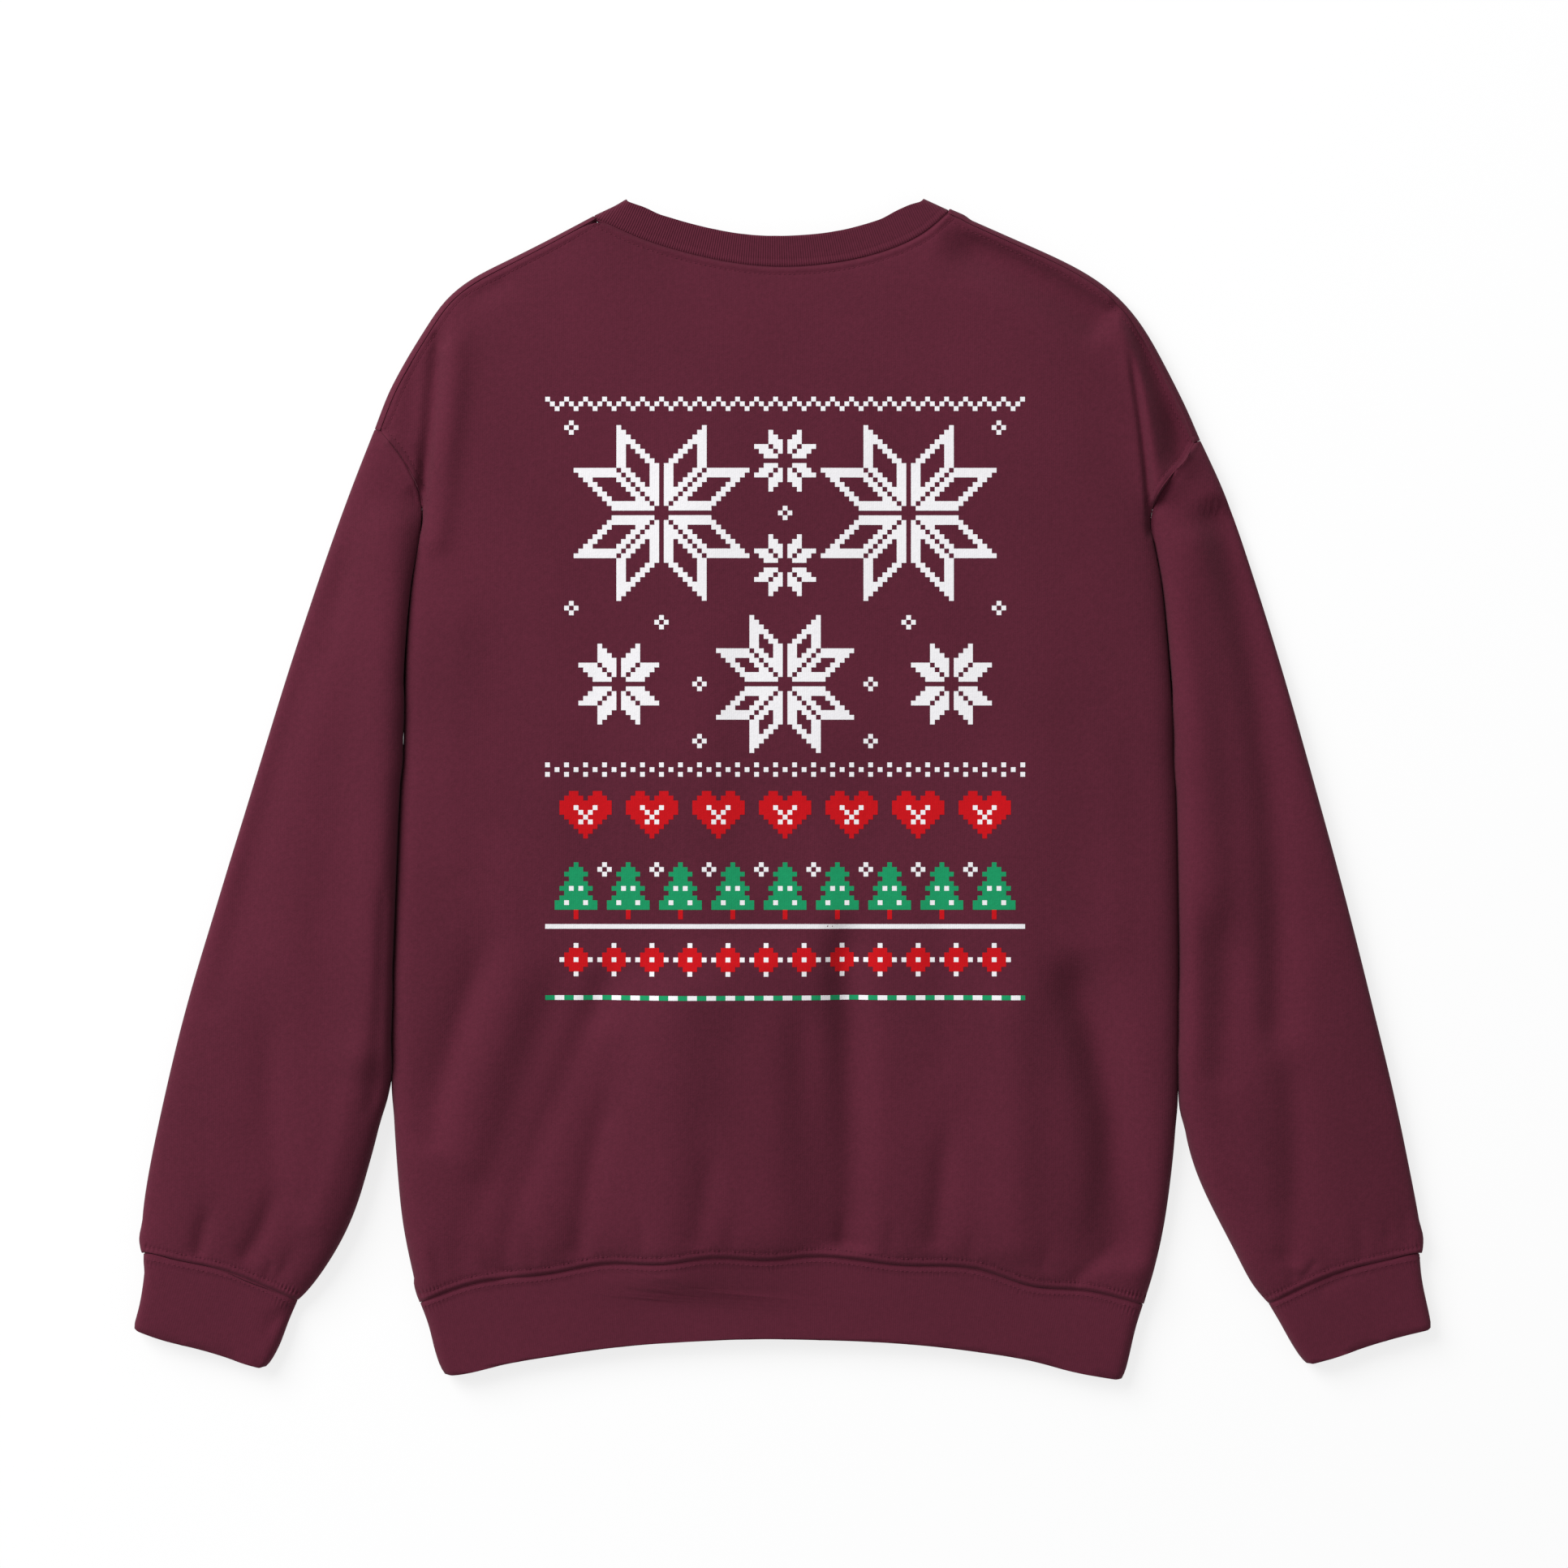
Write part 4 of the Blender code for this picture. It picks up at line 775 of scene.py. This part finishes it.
def cloth_material(name, colour, mottling, bump):
    """Matt knit cloth of one colour."""
    material = bpy.data.materials.new(name)
    material.use_nodes = True
    tree = material.node_tree
    shader = tree.nodes["Principled BSDF"]
    place = tree.nodes.new("ShaderNodeTexCoord")
    face = tree.nodes.new("ShaderNodeGroup")
    face.name = "face"
    face.node_tree = knit_group()
    face.inputs["Colour"].default_value = (*colour, 1.0)
    face.inputs["Mottling"].default_value = mottling
    tree.links.new(place.outputs["Object"], face.inputs["Coordinates"])
    relief = tree.nodes.new("ShaderNodeBump")
    relief.name = "relief"
    relief.inputs["Strength"].default_value = bump
    relief.inputs["Distance"].default_value = KNIT_HEIGHT
    tree.links.new(face.outputs["Height"], relief.inputs["Height"])
    tree.links.new(face.outputs["Colour"], shader.inputs["Base Color"])
    tree.links.new(relief.outputs["Normal"], shader.inputs["Normal"])
    for socket, value in CLOTH_LOOK:
        shader.inputs[socket].default_value = value
    return material


def rib_material(name, colour, pitch, depth, shade_strength):
    """Matt rib knit, whose ribs follow the piece's own map, with painted shade in the furrows
    between them and painted highlight on their crests.
    """
    material = cloth_material(name, colour, mottling=0.12, bump=0.35)
    tree = material.node_tree
    link = tree.links.new
    shader = tree.nodes["Principled BSDF"]
    place = node(tree, "ShaderNodeUVMap", uv_map=UV_NAME)
    ribs = tree.nodes.new("ShaderNodeGroup")
    ribs.node_tree = rib_group()
    ribs.inputs["Pitch"].default_value = pitch
    ribs.inputs["Contrast"].default_value = shade_strength
    link(place.outputs["UV"], ribs.inputs["Coordinates"])
    ridge = tree.nodes.new("ShaderNodeBump")
    ridge.inputs["Distance"].default_value = depth
    link(ribs.outputs["Height"], ridge.inputs["Height"])
    link(tree.nodes["relief"].outputs["Normal"], ridge.inputs["Normal"])
    link(ridge.outputs["Normal"], shader.inputs["Normal"])
    # Painted shade: the knit's colour darkened in the rib furrows and lightened on the crests
    shaded_colour = node(tree, "ShaderNodeVectorMath", operation="SCALE")
    link(tree.nodes["face"].outputs["Colour"], shaded_colour.inputs[0])
    link(ribs.outputs["Painted shade"], shaded_colour.inputs["Scale"])
    link(shaded_colour.outputs[0], shader.inputs["Base Color"])
    return material


def shaped_mesh(name, seam_share):
    """A CAD solid's form with its creases, this share of its seams' relief, and its bulges.

    Also gives the places where its points were before.
    """
    mesh = refined_copy(name, bpy.context.scene.sweatshirt_cloth.subdivisions)
    refine_along_lines(mesh, name)
    points = np.array([vertex.co for vertex in mesh.verts])
    plan = points[:, :2]
    lift = crease_height(CREASES.get(name, ()), plan) + seam_share * seam_relief(plan)
    if name in FLEECE_PIECES:
        lift += armhole_fill(plan)
    lift *= np.clip((points[:, 2] - RELIEF_FOOT) / RELIEF_FADE, 0.0, 1.0)
    for vertex, height, sideways in zip(mesh.verts, lift, bulge(name, plan)):
        vertex.co += Vector((*sideways, height))
    return mesh, points


def fleece_piece(name):
    """Builds one fleece panel on its CAD solid's form."""
    settings = bpy.context.scene.sweatshirt_cloth
    mesh, _ = shaped_mesh(name, 1.0)
    material = cloth_material(
        name + "_fleece", tuple(settings.fleece_colour), mottling=0.16, bump=0.55)
    piece = finish_piece(mesh, name + "_cloth", [material], name)


def rib_band(name, along, opened=1.0):
    """Builds one rib band on its CAD solid's form. along gives the distance round the band.

    opened is how far its ribs stand open, from 0 where they have closed up to 1.
    """
    settings = bpy.context.scene.sweatshirt_cloth
    mesh, points = shaped_mesh(name, BAND_RELIEF)
    place = along(points)
    layer = mesh.loops.layers.uv.new(UV_NAME)
    mesh.verts.index_update()
    for face in mesh.faces:
        for loop in face.loops:
            index = loop.vert.index
            loop[layer].uv = (place[index], points[index, 1] + points[index, 2])
    material = rib_material(name + "_rib", tuple(settings.rib_colour), settings.rib_pitch,
                            opened * settings.rib_depth, opened * RIB_PAINTED_SHADE)
    piece = finish_piece(mesh, name + "_cloth", [material], name)


def across(direction):
    """Distance along a fixed direction in the plan."""
    unit = np.array(direction, float) / np.linalg.norm(direction)
    return lambda points: points[:, :2] @ unit


def fanned(points):
    """Distance along the waistband, whose ribs draw together towards the hem."""
    down = np.clip((WAIST_TOP - points[:, 1] / MM) / (WAIST_TOP - WAIST_HEM), 0.0, 1.0)
    return points[:, 0] * (1.0 + (WAIST_SPREAD - 1.0) * down)


def round_neck(points):
    """Distance round the neck, measured along the back of the neckband."""
    middle = np.array(NECK_CENTRE) * MM
    away = points[:, :2] - middle
    return np.arctan2(away[:, 0], -away[:, 1]) * NECK_RADIUS * MM


class SWEATSHIRT_OT_fleece(bpy.types.Operator):
    """Builds the back, the front and the two sleeves."""

    bl_idname = "sweatshirt.fleece"
    bl_label = "Fleece Panels"

    def execute(self, context):
        for name in FLEECE_PIECES:
            fleece_piece(name)
        return {"FINISHED"}


class SWEATSHIRT_OT_ribs(bpy.types.Operator):
    """Builds the waistband, the cuffs and the neckband in rib knit."""

    bl_idname = "sweatshirt.ribs"
    bl_label = "Rib Bands"

    def execute(self, context):
        rib_band("waistband", fanned, CLOSED_RIBS)
        rib_band("left_cuff", across(LEFT_CUFF_ACROSS), CLOSED_RIBS)
        rib_band("right_cuff", across(RIGHT_CUFF_ACROSS), CLOSED_RIBS)
        rib_band("neckband", round_neck)
        return {"FINISHED"}


def cloth_surface():
    """Search tree of the outer surfaces of all the cloth pieces."""
    points = []
    faces = []
    for name in CUTS:
        data = bpy.data.objects[name + "_cloth"].data
        start = len(points)
        points.extend(vertex.co.copy() for vertex in data.vertices)
        faces.extend([start + index for index in face.vertices] for face in data.polygons)
    return BVHTree.FromPolygons(points, faces)


def on_cloth(surface, x, y):
    """Top point of the cloth over a place in the plan, and its normal."""
    place, normal, _, _ = surface.ray_cast(Vector((x, y, PROBE_TOP)), Vector((0, 0, -1)))
    if place is None or place.z < PROBE_FOOT:
        return None, None
    return place, normal


class SWEATSHIRT_OT_allowances(bpy.types.Operator):
    """Lays the sewn edges of the cloth inside, under the seams."""

    bl_idname = "sweatshirt.allowances"
    bl_label = "Seam Allowances"

    def execute(self, context):
        surface = cloth_surface()
        mesh = bmesh.new()
        for table in SEAM_TABLES.values():
            line = smooth_line(table, ALLOWANCE_POINTS)
            start = (line[0] - line[1]) / np.linalg.norm(line[0] - line[1])
            end = (line[-1] - line[-2]) / np.linalg.norm(line[-1] - line[-2])
            extra = np.array(ALLOWANCE_ENDS)[:, None] * MM
            line = np.vstack((line[0] + extra * start, line, line[-1] + extra[::-1] * end))
            _, side = line_directions(line)
            sideways = side * ALLOWANCE_PROBE * MM
            covered = []
            for index, (place, offset) in enumerate(zip(line, sideways)):
                hits = [on_cloth(surface, *(place + side * offset))[0] for side in (-1, 1)]
                if all(hits):
                    covered.append((index, sum(hit.z for hit in hits) / 2))
            indices, heights = zip(*covered)
            kept = slice(indices[0], indices[-1] + 1)
            heights = np.interp(range(kept.start, kept.stop), indices, heights)
            self.tube(mesh, line[kept], heights - ALLOWANCE_DEPTH * MM, sideways[kept])
        colour = tuple(context.scene.sweatshirt_cloth.fleece_colour)
        material = cloth_material("allowance", colour, mottling=0.1, bump=0.3)
        finish_piece(mesh, "seam_allowances", [material])
        return {"FINISHED"}

    def tube(self, mesh, line, heights, sideways):
        """Adds a closed tube through the points."""
        sides = ALLOWANCE_SIDES
        made = bmesh.ops.create_grid(mesh, x_segments=sides, y_segments=len(line) - 1, size=1.0)
        units = sideways / np.linalg.norm(sideways, axis=1)[:, None]
        for index, vertex in enumerate(made["verts"]):
            step, corner = divmod(index, sides + 1)
            turn = 2 * math.pi * corner / sides
            out = units[step] * math.cos(turn) * ALLOWANCE_RADIUS * MM
            rise = math.sin(turn) * ALLOWANCE_RADIUS * MM
            vertex.co = (*(line[step] + out), heights[step] + rise)
        bmesh.ops.remove_doubles(mesh, verts=made["verts"], dist=MERGE_DISTANCE)
        ends = [edge for edge in mesh.edges if len(edge.link_faces) == 1]
        bmesh.ops.holes_fill(mesh, edges=ends, sides=sides)
        bmesh.ops.recalc_face_normals(mesh, faces=mesh.faces)


class SWEATSHIRT_OT_stitches(bpy.types.Operator):
    """Sews the rows of stitches along the seams."""

    bl_idname = "sweatshirt.stitches"
    bl_label = "Seam Stitches"

    def execute(self, context):
        settings = context.scene.sweatshirt_stitches
        surface = cloth_surface()
        mesh = bmesh.new()
        for name, gap, towards in STITCH_ROWS:
            table = SEAM_TABLES[name]
            length = line_length(smooth_line(table, STITCH_LINE_POINTS))
            count = max(int(length / settings.spacing), FEWEST_STITCHES)
            line = smooth_line(table, count)
            along, side = line_directions(line)
            toward = np.array(towards, float) * MM - line
            side *= np.sign(np.sum(side * toward, axis=1))[:, None]
            row = line + side * gap * MM
            for place, direction in zip(row, along):
                self.stitch(mesh, surface, place, direction, settings)
        fleece = context.scene.sweatshirt_cloth.fleece_colour
        # Painted highlight: the thread takes the fleece's colour, made lighter to stand for its
        # sheen
        colour = tuple(THREAD_HIGHLIGHT * part for part in fleece)
        thread = cloth_material("thread", colour, mottling=0.1, bump=0.2)
        finish_piece(mesh, "seam_stitches", [thread])
        return {"FINISHED"}

    def stitch(self, mesh, surface, place, direction, settings):
        """Adds one stitch lying on the cloth."""
        top, normal = on_cloth(surface, place[0], place[1])
        if top is None:
            return
        ahead = Vector((direction[0], direction[1], 0.0))
        ahead = (ahead - normal * ahead.dot(normal)).normalized()
        sideways = normal.cross(ahead)
        made = bmesh.ops.create_icosphere(mesh, subdivisions=1, radius=0.5)
        for vertex in made["verts"]:
            local = vertex.co.copy()
            vertex.co = (
                top
                + ahead * local.x * settings.length
                + sideways * local.y * settings.thickness
                + normal * local.z * settings.thickness
            )


def star_cells(column, row, size):
    """Cells of an eight-petalled star round a middle cell, its larger petals open."""
    reach = range(-2 * size, 2 * size + 1)
    cells = []
    for x in reach:
        for y in reach:
            inner = min(abs(x), abs(y))
            outer = abs(abs(x) - abs(y))
            if not (1 <= inner <= size and 1 <= outer <= size):
                continue
            if 3 <= inner <= size - 2 and 3 <= outer <= size - 2:
                continue
            cells.append((column + x, row + y))
    return cells


def place_chart(cells, chart, column, row):
    """Adds a chart's marks, its middle column over the given one and its top at the given row."""
    for down, line in enumerate(chart):
        for over, mark in enumerate(line):
            if mark != ".":
                cells[(column - len(line) // 2 + over, row + down)] = mark


def print_cells():
    """All the marked cells of the print: (column, row) to its mark."""
    cells = {}
    for column in range(PRINT_COLUMNS):
        cells[(column, abs((column + 2) % 4 - 2))] = "w"
        if column % 4 == 0:
            cells[(column, DOTS_ROW)] = "w"
            cells[(column, DOTS_ROW + 2)] = "w"
        elif column % 4 == 2:
            cells[(column, DOTS_ROW + 1)] = "w"
        cells[(column, PRINT_ROWS - 1)] = "g" if column % 4 < 2 else "w"
        cells[(column, LINE_ROW)] = "w"
    for column, row, size in STARS:
        for cell in star_cells(column, row, size):
            cells[cell] = "w"
    for column, row in SEEDS:
        place_chart(cells, SEED, column, row - 1)
    for chart, count, first, step, row in CHART_ROWS:
        for index in range(count):
            place_chart(cells, chart, first + step * index, row)
    return cells


class SWEATSHIRT_OT_print(bpy.types.Operator):
    """Prints the winter pattern on the back."""

    bl_idname = "sweatshirt.print"
    bl_label = "Back Print"

    def execute(self, context):
        settings = context.scene.sweatshirt_print
        surface = cloth_surface()
        cells = print_cells()
        mesh = bmesh.new()
        left = settings.middle - PRINT_COLUMNS / 2 * settings.cell
        bmesh.ops.create_grid(
            mesh, x_segments=PRINT_COLUMNS, y_segments=PRINT_ROWS, size=1.0)
        mesh.faces.ensure_lookup_table()
        bare = []
        for face in mesh.faces:
            middle = face.calc_center_median()
            column = int((middle.x + 1) / 2 * PRINT_COLUMNS)
            row = int((1 - middle.y) / 2 * PRINT_ROWS)
            mark = cells.get((column, row))
            if mark is None:
                bare.append(face)
            else:
                face.material_index = MARKS.index(mark)
        bmesh.ops.delete(mesh, geom=bare, context="FACES")
        bmesh.ops.subdivide_edges(mesh, edges=mesh.edges, cuts=1, use_grid_fill=True)
        for vertex in mesh.verts:
            x = left + (vertex.co.x + 1) / 2 * PRINT_COLUMNS * settings.cell
            y = settings.top - (1 - vertex.co.y) / 2 * PRINT_ROWS * settings.cell
            top, normal = on_cloth(surface, x, y)
            if top is None:
                raise RuntimeError("the print runs off the back panel")
            vertex.co = top + normal * INK_THICKNESS
        inks = [
            cloth_material(name + "_ink", tuple(colour), mottling, bump=0.4)
            for name, colour, mottling in (
                ("white", settings.white, 0.045), ("red", settings.red, 0.09),
                ("green", settings.green, 0.09))
        ]
        finish_piece(mesh, "back_print", inks)
        return {"FINISHED"}


class SWEATSHIRT_OT_studio(bpy.types.Operator):
    """Sets the pale floor, the soft light and the camera straight above."""

    bl_idname = "sweatshirt.studio"
    bl_label = "Studio"

    def execute(self, context):
        settings = context.scene.sweatshirt_studio
        scene = context.scene
        mesh = bmesh.new()
        bmesh.ops.create_grid(
            mesh, x_segments=FLOOR_SQUARES, y_segments=FLOOR_SQUARES, size=FLOOR_SIZE)
        data = bpy.data.meshes.new("floor")
        mesh.to_mesh(data)
        mesh.free()
        floor = bpy.data.objects.new("floor", data)
        floor.location.z = -FLOOR_DROP
        scene.collection.objects.link(floor)
        paper = bpy.data.materials.new("floor_paper")
        paper.use_nodes = True
        shader = paper.node_tree.nodes["Principled BSDF"]
        shader.inputs["Base Color"].default_value = FLOOR_COLOUR
        shader.inputs["Roughness"].default_value = 0.9
        shader.inputs["Specular IOR Level"].default_value = 0.1
        shader.inputs["Emission Color"].default_value = WHITE
        shader.inputs["Emission Strength"].default_value = settings.floor_glow
        data.materials.append(paper)

        world = bpy.data.worlds.new("studio")
        world.use_nodes = True
        sky = world.node_tree.nodes["Background"]
        sky.inputs["Color"].default_value = WHITE
        sky.inputs["Strength"].default_value = settings.fill_strength
        scene.world = world
        scene.view_settings.view_transform = "Standard"

        self.area_light("key_light", KEY_LIGHT_PLACE, KEY_LIGHT_SIZE, settings.key_power)

        camera_data = bpy.data.cameras.new("camera")
        camera_data.lens = LENS
        camera_data.sensor_width = SENSOR
        camera = bpy.data.objects.new("camera", camera_data)
        camera.location = (*CAMERA_PLACE, CLOTH_LEVEL + settings.picture_width * LENS / SENSOR)
        scene.collection.objects.link(camera)
        scene.camera = camera
        return {"FINISHED"}

    def area_light(self, name, place, size, power):
        """Adds a square light that faces the garment's middle."""
        data = bpy.data.lights.new(name, "AREA")
        data.size = size
        data.energy = power
        light = bpy.data.objects.new(name, data)
        light.location = place
        light.rotation_mode = "QUATERNION"
        light.rotation_quaternion = (-Vector(place)).to_track_quat("-Z", "Y")
        bpy.context.scene.collection.objects.link(light)


class SWEATSHIRT_PT_sidebar(bpy.types.Panel):
    """Lists the sweatshirt's pieces and settings."""

    bl_idname = "SWEATSHIRT_PT_sidebar"
    bl_label = "Sweatshirt"
    bl_space_type = "VIEW_3D"
    bl_region_type = "UI"
    bl_category = "Sweatshirt"

    def draw(self, context):
        scene = context.scene
        for group in (scene.sweatshirt_cloth, scene.sweatshirt_stitches,
                      scene.sweatshirt_print, scene.sweatshirt_studio):
            box = self.layout.box()
            for name in group.__annotations__:
                box.prop(group, name)
        for operator in OPERATORS:
            self.layout.operator(operator.bl_idname)


OPERATORS = (
    SWEATSHIRT_OT_fleece,
    SWEATSHIRT_OT_ribs,
    SWEATSHIRT_OT_allowances,
    SWEATSHIRT_OT_stitches,
    SWEATSHIRT_OT_print,
    SWEATSHIRT_OT_studio,
)
SETTINGS = (
    ("sweatshirt_cloth", ClothSettings),
    ("sweatshirt_stitches", StitchSettings),
    ("sweatshirt_print", PrintSettings),
    ("sweatshirt_studio", StudioSettings),
)


def register():
    for name, group in SETTINGS:
        bpy.utils.register_class(group)
        setattr(bpy.types.Scene, name, PointerProperty(type=group))
    for item in OPERATORS + (SWEATSHIRT_PT_sidebar,):
        bpy.utils.register_class(item)


def unregister():
    for item in reversed(OPERATORS + (SWEATSHIRT_PT_sidebar,)):
        bpy.utils.unregister_class(item)
    for name, group in reversed(SETTINGS):
        delattr(bpy.types.Scene, name)
        bpy.utils.unregister_class(group)


def main():
    register()
    bpy.ops.sweatshirt.fleece()
    bpy.ops.sweatshirt.ribs()
    bpy.ops.sweatshirt.allowances()
    bpy.ops.sweatshirt.stitches()
    bpy.ops.sweatshirt.print()
    bpy.ops.sweatshirt.studio()


if __name__ == "__main__":
    main()
